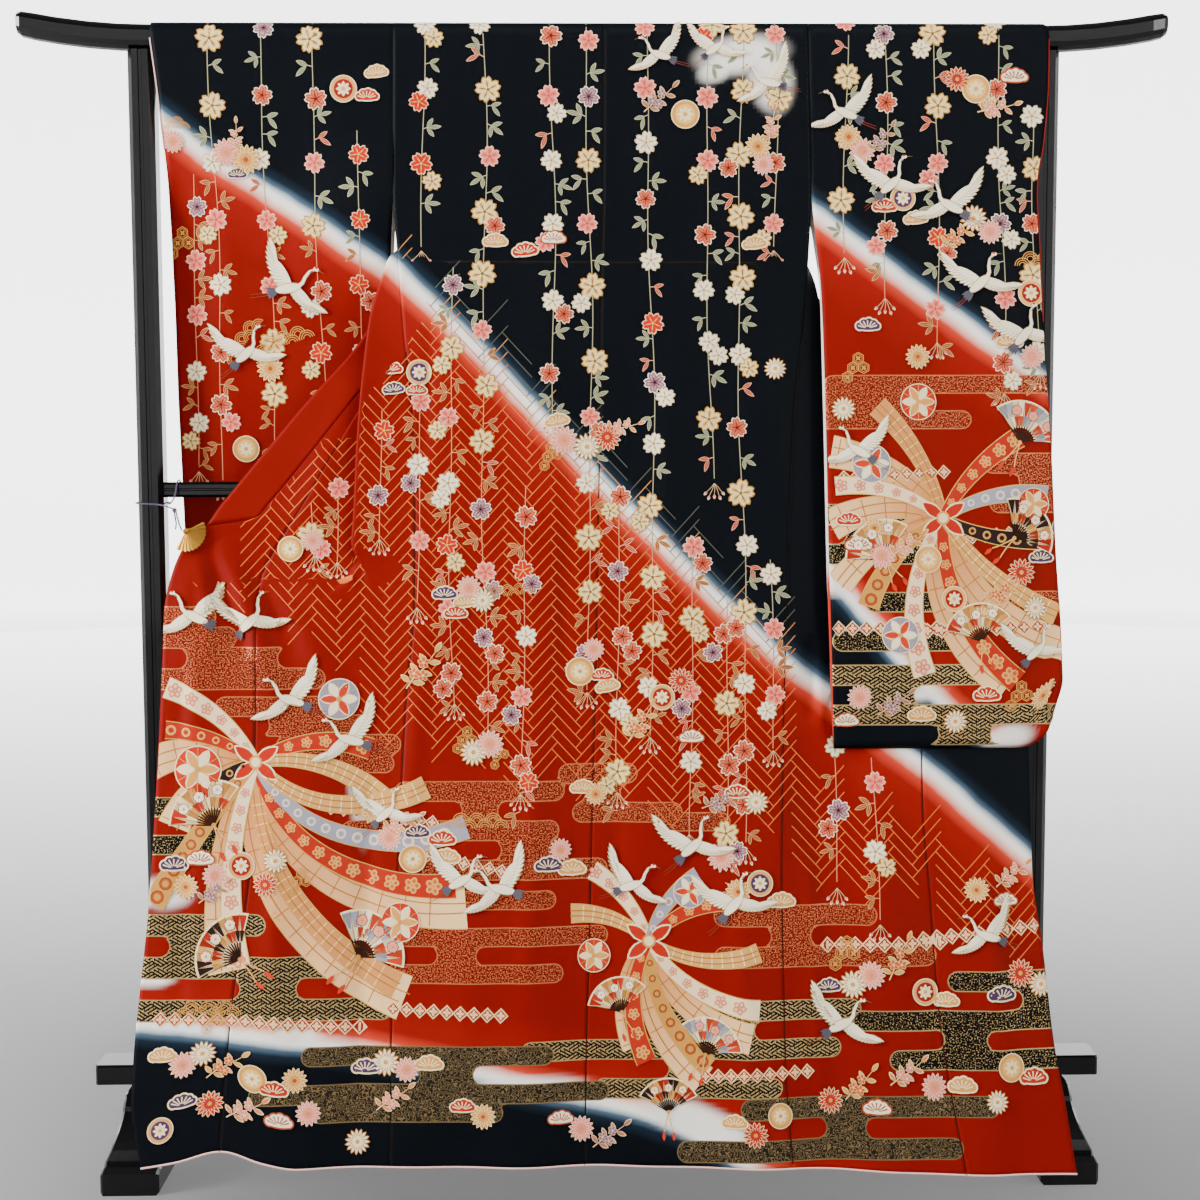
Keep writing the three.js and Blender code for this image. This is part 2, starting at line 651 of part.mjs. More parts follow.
function sleeveGrid(sleeve) {
  const grid = [];
  const walls = [
    { name: "near", levels: [...SLEEVE_LEVELS].reverse() },
    { name: "far", levels: SLEEVE_LEVELS },
  ];
  const [nearWall, farWall] = walls.map((wall) => wall.levels.map((level) => (
    SLEEVE_SHARES.map((share) => sleevePoint(sleeve, level, share, wall.name))
  )));
  grid.push(...nearWall);
  for (let step = 0; step <= RIDGE_STEPS; step += 1) {
    const turn = step / RIDGE_STEPS;
    const outer = lerp(sleeve.outerNear(RAIL_AXIS_Z), sleeve.outerFar(RAIL_AXIS_Z), turn);
    const inner = sleeve.inner(RAIL_AXIS_Z) + (Math.sign(outer) * SEAM_GAP) / 2;
    const length = ridgeLength(step);
    grid.push(SLEEVE_SHARES.map((share) => overRail(lerp(inner, outer, share), length)));
  }
  grid.push(...farWall);
  const fold = SLEEVE_SHARES.map((share) => {
    const near = sleevePoint(sleeve, SLEEVE_BOTTOM, share, "near");
    const far = sleevePoint(sleeve, SLEEVE_BOTTOM, share, "far");
    return near.lerp(far, 0.5);
  });
  grid.push(fold);
  return grid;
}

// The stand

function grooveOutline(width, depth, bevel, groove) {
  const x = width / 2;
  const y = depth / 2;
  const half = groove / 2;
  return [
    [x, -y + bevel], [x, y - bevel], [x - bevel, y], [half, y], [half - 1, y - GROOVE_DEPTH],
    [1 - half, y - GROOVE_DEPTH], [-half, y], [bevel - x, y], [-x, y - bevel], [-x, bevel - y],
    [bevel - x, -y], [-half, -y], [1 - half, GROOVE_DEPTH - y], [half - 1, GROOVE_DEPTH - y],
    [half, -y], [x - bevel, -y],
  ];
}

function postGeometry(hand) {
  const outline = grooveOutline(POST_WIDTH, POST_WIDTH, POST_BEVEL, GROOVE_WIDTH);
  const bottom = BEAM_TOP + JOINT_GAP;
  const top = RAIL_AXIS_Z - RAIL_RADIUS - JOINT_GAP;
  return loftGeometry([bottom, top].map((z) => (
    outline.map(([x, y]) => new THREE.Vector3(hand * POST_X + x, y, z))
  )));
}

function railRise(x) {
  const beyond = Math.max(0, Math.abs(x) - RAIL_STRAIGHT_HALF);
  return RAIL_TIP_RISE * (beyond / (RAIL_HALF_LENGTH - RAIL_STRAIGHT_HALF)) ** 2;
}

function railGeometry() {
  const stations = [
    [0, 1], [RAIL_STRAIGHT_HALF, 1], [700, 1], [745, 1], [790, 1], [825, 1], [842, 0.95], [848, 0.8],
    [RAIL_HALF_LENGTH, 0.5],
  ];
  const ends = stations.slice(1);
  const mirrored = ends.map(([x, size]) => [-x, size]).reverse();
  const sides = 16;
  return loftGeometry([...mirrored, ...ends].map(([x, size]) => (
    Array.from({ length: sides }, (_, corner) => {
      const angle = (corner / sides) * Math.PI * 2;
      const grooved = corner % (sides / 2) === 0 ? GROOVE_DEPTH : 0;
      const radius = (RAIL_RADIUS - grooved) * size;
      const z = RAIL_AXIS_Z + railRise(x) + radius * Math.sin(angle);
      return new THREE.Vector3(x, radius * Math.cos(angle), z);
    })
  )));
}

function midRailGeometry() {
  const outline = grooveOutline(MID_RAIL_HEIGHT, MID_RAIL_DEPTH, 4, 4);
  const half = POST_X - POST_WIDTH / 2 - JOINT_GAP;
  return loftGeometry([-half, half].map((x) => (
    outline.map(([z, y]) => new THREE.Vector3(x, y, MID_RAIL_Z + z))
  )));
}

function beamGeometry() {
  const bevel = 3;
  const y = BEAM_DEPTH / 2;
  const stations = [
    [-BEAM_HALF_LENGTH, bevel], [bevel - BEAM_HALF_LENGTH, 0],
    [BEAM_HALF_LENGTH - bevel, 0], [BEAM_HALF_LENGTH, bevel],
  ];
  return loftGeometry(stations.map(([x, inset]) => [
    [inset - y, BEAM_BOTTOM], [y - inset, BEAM_BOTTOM], [y - inset, BEAM_TOP - bevel],
    [y - bevel - inset, BEAM_TOP], [bevel + inset - y, BEAM_TOP], [inset - y, BEAM_TOP - bevel],
  ].map(([across, z]) => new THREE.Vector3(x, across, z))));
}

// A sled foot: flat pads at both ends, a low toe with a stepped bevel, and a seat for the beam
function footGeometry(hand) {
  const half = FOOT_HALF_DEPTH - FOOT_BEVEL;
  const toe = FOOT_TOE_HEIGHT - FOOT_BEVEL;
  const seat = BEAM_BOTTOM - JOINT_GAP - FOOT_BEVEL;
  const shape = new THREE.Shape();
  const profile = [
    [half, FOOT_BEVEL], [half, toe], [half - 12, toe + 3], [half - 20, toe + 3], [half - 24, toe + 8],
  ];
  shape.moveTo(-half, FOOT_BEVEL);
  shape.lineTo(-110, FOOT_BEVEL);
  shape.quadraticCurveTo(0, 26, 110, FOOT_BEVEL);
  profile.forEach(([y, z]) => shape.lineTo(y, z));
  shape.quadraticCurveTo(96, 50, 74, 72);
  shape.quadraticCurveTo(62, seat, 46, seat);
  shape.lineTo(-46, seat);
  shape.quadraticCurveTo(-62, seat, -74, 72);
  shape.quadraticCurveTo(-96, 50, 24 - half, toe + 8);
  [...profile].reverse().slice(1, -1).forEach(([y, z]) => shape.lineTo(-y, z));
  const geometry = new THREE.ExtrudeGeometry(shape, {
    depth: FOOT_WIDTH - 2 * FOOT_BEVEL,
    bevelThickness: FOOT_BEVEL,
    bevelSize: FOOT_BEVEL,
    bevelSegments: 1,
    curveSegments: 6,
  });
  geometry.rotateX(Math.PI / 2).rotateZ(Math.PI / 2);
  geometry.translate(hand * FOOT_X - FOOT_WIDTH / 2 + FOOT_BEVEL, 0, 0);
  return fromManifold(toManifold(geometry));
}

// The fan clip that holds the end of the collar, and the cord that ties it to the post
const CLIP = { x: -603, z: 945, radius: 30, root: 2.6, ribs: 13, from: -118, to: 28, standOff: 2.4 };
const CLIP_SEGMENTS = 12;

function clipGeometry() {
  const slope = (nearDepth(CLIP.z + 1) - nearDepth(CLIP.z - 1)) / 2;
  const cloth = onNearPlane(CLIP.x + CLIP.radius / 2, CLIP.z, 0).y;
  const leafY = cloth - CLOTH / 2 - CLIP.standOff;
  const steps = CLIP.ribs * 2;
  const leaf = [CLIP.root, CLIP.radius * 0.55, CLIP.radius].map((radius) => (
    Array.from({ length: steps + 1 }, (_, step) => {
      const angle = THREE.MathUtils.degToRad(lerp(CLIP.from, CLIP.to, step / steps));
      const pleat = (step % 2 ? -0.6 : 0.4) * (radius / CLIP.radius);
      const reach = radius === CLIP.radius && step % 2 === 0 ? radius - 1.5 : radius;
      const rise = reach * Math.sin(angle);
      return new THREE.Vector3(
        CLIP.x + reach * Math.cos(angle),
        leafY + pleat + slope * rise,
        CLIP.z + rise,
      );
    })
  ));
  const front = wallGeometry(leaf, 1);
  const jawY = cloth + CLOTH / 2 + 1.6;
  const knobFront = leafY - 3;
  const knobLength = jawY - knobFront;
  const knob = new THREE.LatheGeometry(
    [[0, 0], [2.6, 0], [4, 1.2], [4, 2.4], [3, 3.4], [3, knobLength], [0, knobLength]]
      .map(([radius, along]) => new THREE.Vector2(radius, along)),
    CLIP_SEGMENTS,
  ).translate(CLIP.x, knobFront, CLIP.z);
  const jaw = new THREE.BoxGeometry(22, 1.4, 8).translate(CLIP.x + 9, jawY, CLIP.z);
  return joined([front, knob, jaw]);
}

const CORD_RADIUS = 1.1;
const CORD_ROUTE = [
  [-608.6, -78, 947], [-613, -71, 954], [-620, -55, 966], [-626, -42, 975], [-640, -30, 980],
  [-656, -22.5, 983], [-676, -21.5, 984], [-689.5, -17, 985], [-690.5, 0, 986], [-689.5, 17, 986],
  [-676, 21.5, 986], [-656, 21.5, 986], [-646, 17, 985], [-645, 0, 984], [-642, -14, 984],
  [-636, -25, 985], [-631, -27, 992], [-629.5, -19, 1003], [-629, -13.2, 1014], [-629, -6, 1018.6],
  [-629, 6, 1018.6], [-629, 12.9, 1012], [-629, 12.9, 1000],
];
const CORD_TAIL = [[-627, -43, 974], [-625, -47, 966], [-623, -49, 956], [-624, -50, 947]];
const KNOT = { x: -627, y: -40.5, z: 975, radius: 3.6 };

function cordTube(points, steps) {
  const path = new THREE.CatmullRomCurve3(points.map((p) => new THREE.Vector3(...p)));
  const section = new THREE.Shape();
  section.absarc(0, 0, CORD_RADIUS, 0, Math.PI * 2);
  return new THREE.ExtrudeGeometry(section, { steps, extrudePath: path, curveSegments: 4 });
}

function cordGeometry() {
  const knot = new THREE.SphereGeometry(KNOT.radius, 10, 7).translate(KNOT.x, KNOT.y, KNOT.z);
  return joined([cordTube(CORD_ROUTE, 48), knot, cordTube(CORD_TAIL, 6)]);
}

// Materials and the finished group

const LACQUER = { color: 0x0a0a0c, roughness: 0.16, metalness: 0 };
const BLACK_SILK = { color: 0x0f141c, roughness: 0.6, metalness: 0 };
const RED_SILK = { color: 0xc02c1c, roughness: 0.6, metalness: 0 };
const GILT = { color: 0xc49a3c, roughness: 0.35, metalness: 1 };
const PURPLE_CORD = { color: 0x3c2748, roughness: 0.8, metalness: 0 };

const group = new THREE.Group();

// The cloth leans out further than the feet reach, so everything is moved back to the middle
function centreDepth() {
  const middle = new THREE.Box3().setFromObject(group).getCenter(new THREE.Vector3());
  group.children.forEach((mesh) => mesh.geometry.translate(0, -middle.y, 0));
}

function addPiece(name, geometry, finish) {
  const mesh = new THREE.Mesh(geometry, new THREE.MeshStandardMaterial(finish));
  mesh.name = name;
  group.add(mesh);
}

for (const [name, half, silk] of [["left", LEFT, RED_SILK], ["right", RIGHT, BLACK_SILK]]) {
  addPiece(`body_${name}`, wallGeometry(bodyPanel(half), CLOTH), silk);
  addPiece(`okumi_${name}`, wallGeometry(okumiPanel(half), CLOTH), RED_SILK);
}
addPiece("collar", wallGeometry(collarGrid(), CLOTH), RED_SILK);
addPiece("sleeve_left", wallGeometry(sleeveGrid(SLEEVE_LEFT), CLOTH, true), RED_SILK);
addPiece("sleeve_right", wallGeometry(sleeveGrid(SLEEVE_RIGHT), CLOTH, true), BLACK_SILK);
addPiece("top_rail", railGeometry(), LACQUER);
addPiece("mid_rail", midRailGeometry(), LACQUER);
addPiece("bottom_beam", beamGeometry(), LACQUER);
for (const [name, hand] of [["left", -1], ["right", 1]]) {
  addPiece(`post_${name}`, postGeometry(hand), LACQUER);
  addPiece(`foot_${name}`, footGeometry(hand), LACQUER);
}
addPiece("fan_clip", clipGeometry(), GILT);
addPiece("clip_cord", cordGeometry(), PURPLE_CORD);
centreDepth();

export default group;
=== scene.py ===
# %% [markdown]
# # A furisode on its kimono stand
# A furisode is shown back-first: the cloth lies over the top rail, the sleeves hang at both
# sides and the fronts are drawn out from under the arms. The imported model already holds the
# stand and every cut piece as a solid wall. This lesson dresses it: fine silk panels on the same
# forms, a dyed ground, printed motifs, lacquer and gilt.

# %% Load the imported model
import math
import random
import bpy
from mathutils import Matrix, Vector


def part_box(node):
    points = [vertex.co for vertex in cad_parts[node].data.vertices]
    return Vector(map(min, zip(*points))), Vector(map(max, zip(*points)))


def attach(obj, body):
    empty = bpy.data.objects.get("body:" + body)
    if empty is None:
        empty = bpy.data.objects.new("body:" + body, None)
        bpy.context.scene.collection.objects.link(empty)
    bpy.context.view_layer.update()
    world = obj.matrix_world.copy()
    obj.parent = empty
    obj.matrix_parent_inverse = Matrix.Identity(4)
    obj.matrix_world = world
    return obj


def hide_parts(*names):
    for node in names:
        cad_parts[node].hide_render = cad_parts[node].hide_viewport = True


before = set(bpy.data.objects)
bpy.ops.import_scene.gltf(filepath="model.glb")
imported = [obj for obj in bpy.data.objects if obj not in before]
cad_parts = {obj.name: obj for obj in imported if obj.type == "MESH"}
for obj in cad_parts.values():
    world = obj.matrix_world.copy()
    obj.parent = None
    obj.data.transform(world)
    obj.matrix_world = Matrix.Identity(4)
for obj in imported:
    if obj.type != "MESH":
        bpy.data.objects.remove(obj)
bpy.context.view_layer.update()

from types import SimpleNamespace

import bmesh
import bpy
import numpy as np
from mathutils import Matrix, Vector

MM = 0.001
low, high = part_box("top_rail")
DEPTH_SHIFT = (low[1] + high[1]) / 2 / MM
print("top rail lies", round(DEPTH_SHIFT, 2), "mm behind the middle of the part")

# %% [markdown]
# ## The camera
# The camera stands where the photographer stood, a little left of the middle and looking
# slightly down. It is made first, so that every later step can be looked at from it.

# %% Camera
CAMERA_DISTANCE = 2500
CAMERA_HEIGHT = 1032
CAMERA_YAW = math.radians(1.1)
CAMERA_PITCH = math.radians(4.5)
CAMERA_ROLL = math.radians(0.2)

camera_data = bpy.data.cameras.new("camera")
camera_data.sensor_width = 36
camera_data.lens = 49.5
camera_data.shift_x = 0.0021
camera = bpy.data.objects.new("camera", camera_data)
bpy.context.scene.collection.objects.link(camera)
camera.location = (
    -CAMERA_DISTANCE * math.sin(CAMERA_YAW) * MM,
    (DEPTH_SHIFT - CAMERA_DISTANCE * math.cos(CAMERA_YAW)) * MM,
    CAMERA_HEIGHT * MM,
)
turned = Matrix.Rotation(-CAMERA_YAW, 4, "Z") @ Matrix.Rotation(math.pi / 2 - CAMERA_PITCH, 4, "X")
camera.rotation_euler = (turned @ Matrix.Rotation(-CAMERA_ROLL, 4, "Z")).to_euler()
bpy.context.scene.camera = camera
print("camera at", [round(v, 3) for v in camera.location])

# %% [markdown]
# ## Named curves
# The cloth's edges are curves down the garment. Each table has named columns and one row for
# each level, and a cubic that never overshoots runs between the rows. The tables are the ones
# that the solid panels were made from, so the silk lands exactly on them. Zeros at the end of a
# row are left out.

# %% Curves from tables


def lerp(start, end, share):
    return start + (end - start) * share


def smooth(start, end, value):
    t = np.clip((np.asarray(value, float) - start) / (end - start), 0, 1)
    return t * t * (3 - 2 * t)


def curve_through(keys, values):
    slopes = np.diff(values) / np.diff(keys)
    before = np.concatenate([slopes[:1], slopes])
    after = np.concatenate([slopes, slopes[-1:]])
    total = np.where(before + after == 0, 1, before + after)
    tangents = np.where(before * after <= 0, 0, 2 * before * after / total)

    def at(level):
        level = np.asarray(level, float)
        i = np.clip(np.searchsorted(-keys, -level, side="right") - 1, 0, len(keys) - 2)
        span = keys[i + 1] - keys[i]
        t = np.clip((level - keys[i]) / span, 0, 1)
        start = values[i] * (1 + 2 * t) * (1 - t) ** 2 + tangents[i] * span * t * (1 - t) ** 2
        end = values[i + 1] * t * t * (3 - 2 * t) + tangents[i + 1] * span * t * t * (t - 1)
        return start + end

    return at


def table_of(columns, rows):
    names = columns.split()
    data = np.array([row + [0] * (len(names) - len(row)) for row in rows], float)
    return SimpleNamespace(**{
        name: curve_through(data[:, 0], data[:, i]) for i, name in enumerate(names)
    })


print("halfway between two rows:", round(float(table_of("z x", [[10, 0], [0, 4]]).x(5)), 2))

# %% [markdown]
# ## Sizes of the stand and the drape
# The cloth falls from a 39 mm rail and leans out towards the viewer over the feet. These are
# the few numbers that place everything else.

# %% Driving sizes
RAIL_AXIS_Z = 1668.5
DRAPE_RADIUS = 21.2
QUARTER = DRAPE_RADIUS * math.pi / 2
HEM_LEVEL = 35
DROP = 1640
LEAN = 60
FLARE = 130
FOLD_RADIUS = 3
COLLAR_WIDTH = 52
ARMPIT = 1338
OKUMI_TOP = 1390
SLEEVE_BOTTOM = 625
SLEEVE_CORNER = 50
SLEEVE_EDGE_GAP = 2.8
FOOT_X = 676
SILK = 1.6

BACK = table_of("level centre sideLeft sideRight", [
    [1668.5, 12, -297, 313],
    [1440, 10, -299, 317],
    [1338, 7, -292, 312],
    [1230, 5, -284, 303],
    [1136, 4, -274, 292],
    [988, 1, -269, 283],
    [842, -2, -270, 277],
    [698, -6, -282, 271],
    [552, -11, -290, 267],
    [400, -15, -296, 264],
    [189, -22, -303, 265],
    [HEM_LEVEL, -25, -303, 274],
])
HEM = table_of("x z", [
    [684, 19], [522, 21], [269, 32], [-25, 39], [-431, 41], [-485, 50], [-543, 66], [-608, 51],
    [-657, 43],
])

# %% [markdown]
# ## The fronts
# Each front hangs behind the rail, is folded at "turn", comes forward under the arm, is pleated
# at "fold" and spreads beside the back. The Y columns are depths behind the near plane.
# "folded" and "turned" say how far the pleat and the turned-back layer are formed.

# %% Tables of the fronts, okumi and collar
FRONT_COLUMNS = "level fold turn seam sideY foldY turnY seamY folded turned"
FRONT_LEFT = table_of(FRONT_COLUMNS, [
    [1668.5, -286, -150, -93, 41.8, 41.8, 41.8, 41.8],
    [1610, -287, -104, -94, 46, 46, 46, 46, 0, 0.1],
    [1500, -287, -104, -137, 50, 50, 51, 57, 0, 1],
    [1440, -289, -114, -172, 48, 51, 54, 62, 0, 1],
    [1390, -296, -126, -196, 26, 44, 54, 62, 0.5, 1],
    [1338, -306, -146, -222, 0, 1, 48, 58, 1, 1],
    [1262, -330, -190, -260, 0, -3, 34, 45, 1, 1],
    [1217, -337, -211, -280, 0, -3, 26, 36, 1, 1],
    [1136, -346, -259, -344, 0, -3, 17, 23, 1, 1],
    [1056, -352, -291, -393, 0, -3, 14, 19, 1, 1],
    [987, -355, -315, -433, 0, -3, 12, 15, 1, 1],
    [930, -359, -336, -468, 0, -3, 10, 11, 1, 1],
    [876, -362, -352, -495, 0, -2, 5, 6, 0.6, 0.6],
    [830, -364, -360, -501, 0, -1, 2, 2],
    [740, -370, -366, -501],
    [613, -376, -372, -502],
    [456, -384, -380, -508],
    [249, -392, -388, -533],
    [HEM_LEVEL, -394, -390, -545],
])
FRONT_RIGHT = table_of(FRONT_COLUMNS, [
    [1668.5, 302, 170, 113, 41.8, 41.8, 41.8, 41.8],
    [1610, 303, 123, 113, 46, 46, 46, 46, 0, 0.1],
    [1500, 304, 119, 152, 50, 50, 51, 57, 0, 1],
    [1440, 306, 128, 186, 48, 51, 54, 62, 0, 1],
    [1390, 312, 140, 212, 30, 44, 54, 62, 0.4, 1],
    [1338, 317, 155, 238, 6, 14, 50, 60, 0.9, 1],
    [1295, 323, 174, 258, 0, 7, 43, 54, 1, 1],
    [1262, 332, 194, 275, 0, 11, 37, 48, 1, 1],
    [1217, 341, 220, 305, 0, 13, 32, 41, 1, 1],
    [1136, 350, 265, 364, 0, 13, 28, 35, 1, 1],
    [1056, 356, 295, 410, 0, 13, 25, 31, 1, 1],
    [987, 360, 320, 448, 0, 13, 24, 28, 1, 1],
    [928, 362, 333, 466, 0, 12, 23, 26, 1, 1],
    [876, 364, 339, 474, 0, 12, 22, 24, 1, 1],
    [740, 366, 347, 475, 0, 10, 18, 20, 1, 1],
    [690, 364, 356, 474, 0, 6, 8, 12, 0.5, 0.5],
    [640, 362, 358, 473, 0, 1, 2, 4],
    [549, 360, 356, 472],
    [402, 358, 354, 481],
    [240, 362, 358, 491],
    [HEM_LEVEL, 376, 372, 523],
])
OKUMI_LEFT = table_of("level edge edgeY", [
    [1390, -203, 63], [1338, -233, 56], [1262, -274, 42], [1217, -297, 34], [1136, -362, 22],
    [1056, -425, 18], [987, -482, 13], [962, -505, 8], [950, -584, 0], [876, -626],
    [830, -635, 0], [740, -638, 0], [640, -642, 0], [405, -654, 0], [198, -671],
    [128, -673, 0], [HEM_LEVEL, -657],
])
OKUMI_RIGHT = table_of("level edge edgeY", [
    [1390, 219, 63], [1338, 247, 60], [1295, 271, 53], [1262, 290, 47], [1217, 322, 41],
    [1136, 382, 35], [1056, 442, 31], [987, 495, 28], [940, 531, 27], [928, 600, 26],
    [876, 620, 25], [740, 631, 20], [640, 632, 6], [456, 632, 0], [329, 646],
    [203, 658, 0], [132, 670, 0], [HEM_LEVEL, 684],
])
BRIM_LEFT = table_of("level edge edgeY drop", [
    [1650, -46, 47, 18], [1610, -60, 84, 14], [1570, -105, 104, 12], [1530, -162, 88, 6],
    [1500, -192, 70, 2], [1390, -258, 60, 0], [1338, -287, 33, 0], [1262, -328, 25, 0],
    [1217, -357, 27, 0], [1136, -428, 21, 0], [1056, -495, 16, 0], [987, -552, 9, 1],
    [962, -574, 1, 10],
])
BRIM_RIGHT = table_of("level edge edgeY drop", [
    [1650, 66, 47, 18], [1610, 80, 84, 14], [1570, 121, 104, 12], [1530, 177, 88, 6],
    [1500, 205, 70, 2], [1390, 272, 56, 0], [1338, 301, 40, 0], [1295, 328, 36, 0],
    [1262, 354, 39, 0], [1217, 389, 37, 0], [1136, 451, 34, 0], [1056, 512, 30, 0],
    [987, 564, 27, 1], [940, 600, 26, 10],
])
LEFT = SimpleNamespace(
    hand=-1, side=BACK.sideLeft, front=FRONT_LEFT, okumi=OKUMI_LEFT, brim=BRIM_LEFT, end=962,
)
RIGHT = SimpleNamespace(
    hand=1, side=BACK.sideRight, front=FRONT_RIGHT, okumi=OKUMI_RIGHT, brim=BRIM_RIGHT, end=940,
)
print("left okumi is", round(float(FRONT_LEFT.seam(400) - OKUMI_LEFT.edge(400))), "mm wide")

# %% Tables of the sleeves
SLEEVE_COLUMNS = "level inner outerNear outerFar nearInY farInY nearOutY farOutY bag"
SLEEVE_LEFT = table_of(SLEEVE_COLUMNS, [
    [1668.5, -297, -652, -652, -21, 21, -21, 21, 1],
    [1560, -298, -640, -640, -25.5, 22, -20, 24, 1],
    [1440, -299, -633, -633, -31.8, 19.5, -9, 27, 0.6],
    [1344, -305, -633, -633, -15, 26, -2, 30, 0],
    [1268, -306, -632, -632, 0, 33, 3, 33, 0],
    [1166, -306, -632, -632, 8, 38, 9, 37, 0],
    [1020, -306, -630, -630, 17, 43, 17, 43, 0],
    [900, -305, -627, -627, 19, 42, 19, 42, 0],
    [760, -303, -624, -624, 22, 38, 22, 38, 0],
    [SLEEVE_BOTTOM, -302, -620, -620, 26, 32, 26, 32, 0],
])
SLEEVE_RIGHT = table_of(SLEEVE_COLUMNS, [
    [1668.5, 313, 669, 656, -21, 21, -21, 21, 1],
    [1600, 314.3, 668, 645, -23.8, 22, -25, 20, 1],
    [1520, 315.7, 662, 641, -27.3, 22, -29, 12, 1],
    [1440, 317.2, 653, 640, -32.2, 19.5, -33, -8, 0.6],
    [1370, 323, 655, 643, -40, -14, -42, -27, 0.3],
    [1296, 329, 657, 657, -55, -41, -52, -40, 0],
    [1208, 332, 661, 661, -66, -45, -62, -45, 0],
    [1060, 335, 669, 669, -81, -57, -78, -57, 0],
    [912, 337, 674, 674, -96, -71, -93, -71, 0],
    [765, 340, 680, 680, -112, -90, -110, -91, 0],
    [700, 341, 680, 680, -117, -99, -116, -101, 0],
    [SLEEVE_BOTTOM, 342.5, 664, 664, -119, -113, -119, -113, 0],
])
print("right sleeve hangs", SLEEVE_BOTTOM, "mm above the floor")

# %% [markdown]
# ## How the near side hangs
# Hung cloth isn't flat: creases run out from where it is held, and slow waves gather towards
# the hem. Each crease is one row: from a point, to a point, how deep and how wide. The last rows
# are finer than the solid's.

# %% The near surface
CREASES = np.array([
    [-578, 925, -508, 760, 13, 15],
    [-560, 930, -462, 690, -9, 24],
    [-600, 900, -590, 640, -6, 20],
    [-500, 905, -420, 640, 6, 30],
    [-350, 1180, -455, 900, -5, 26],
    [312, 790, 313, 665, 8, 13],
    [285, 640, 330, 380, 5, 26],
    [400, 600, 420, 250, -5, 34],
    [590, 600, 606, 200, 4, 26],
    [-120, 1500, -130, 900, 3, 36],
    [150, 1520, 140, 820, -3, 44],
    [-180, 560, -200, 80, -6, 40],
    [90, 520, 110, 60, 5, 48],
    [-420, 480, -440, 60, 5, 30],
    [-585, 935, -560, 700, -3.6, 9],
    [-545, 930, -430, 760, 3.2, 10],
    [-470, 880, -330, 700, 3.6, 13],
    [-590, 880, -620, 560, 3.2, 12],
    [-480, 640, -470, 260, -3.6, 15],
    [-600, 560, -610, 200, 3.4, 15],
    [322, 800, 325, 640, -3.4, 8],
    [340, 640, 470, 520, 3.2, 13],
    [-240, 1280, -262, 1010, 3.2, 12],
    [262, 1300, 268, 960, -3.0, 13],
    [560, 480, 590, 90, -3.6, 16],
    [30, 760, 20, 330, 3.0, 17],
    [-90, 700, -110, 240, -3.4, 17],
    [200, 420, 215, 80, -3.4, 17],
    [-330, 640, -352, 120, 3.6, 14],
    [-250, 860, -290, 420, -3.2, 15],
    [-40, 1080, -56, 640, 3.0, 14],
    [110, 1240, 100, 820, -3.0, 15],
    [300, 560, 318, 100, -3.4, 14],
    [480, 420, 500, 90, 3.2, 14],
    [650, 420, 668, 100, 3.2, 13],
])
WAVES = [(4, 52, 1.1, 0), (2.5, 27, 0.4, 2)]


def near_depth(level):
    q = (RAIL_AXIS_Z - level) / DROP
    return -(DRAPE_RADIUS + LEAN * q + FLARE * q * q)


def crease_depth(x, z):
    depth = np.zeros_like(x)
    for from_x, from_z, to_x, to_z, deep, wide in CREASES:
        run_x, run_z = to_x - from_x, to_z - from_z
        along = ((x - from_x) * run_x + (z - from_z) * run_z) / (run_x**2 + run_z**2)
        aside = np.abs((x - from_x) * run_z - (z - from_z) * run_x) / math.hypot(run_x, run_z)
        along = np.clip(along, 0, 1)
        depth += deep * np.sin(np.pi * along) ** 0.7 * np.exp(-((aside / wide) ** 2))
    return depth


def on_near_plane(x, level, back=0.0):
    x, level = np.broadcast_arrays(np.asarray(x, float), np.asarray(level, float))
    z = level + (HEM.z(x) - HEM_LEVEL) * smooth(300, HEM_LEVEL, level)
    over_foot = smooth(FOOT_X - 110, FOOT_X - 40, np.abs(x)) * smooth(300, 80, level)
    q = (RAIL_AXIS_Z - z) / DROP
    wave = sum(q * height * np.sin(x / reach + phase + lean * q) for height, reach, phase, lean in WAVES)
    relief = (crease_depth(x, z) + wave) * smooth(1500, 1250, level) * (1 - 0.8 * over_foot)
    return np.stack([x, near_depth(level) + back + relief, z], axis=-1)


def over_rail(x, length, lift=0.0):
    x, length = np.broadcast_arrays(np.asarray(x, float), np.asarray(length, float))
    angle = np.clip(length, -QUARTER, QUARTER) / DRAPE_RADIUS
    below = np.maximum(0, np.abs(length) - QUARTER)
    radius = DRAPE_RADIUS + lift
    return np.stack([x, radius * np.sin(angle), RAIL_AXIS_Z + radius * np.cos(angle) - below], axis=-1)


print("the hem stands", round(-float(near_depth(HEM_LEVEL))), "mm in front of the rail")

# %% [markdown]
# ## The course of a front
# At one level a front is a folded line: out from the side seam, round the pleat, back behind,
# round the second bend and out to the okumi. Below the gap under the arm the pleat opens flat.

# %% Rows of a front
PLEAT = np.linspace(0, 1, 16)
BENDS = np.pi * np.array([0.14, 0.38, 0.62, 0.86])
LAYER = np.linspace(0, 1, 10)
INNER = np.linspace(0, 1, 24)


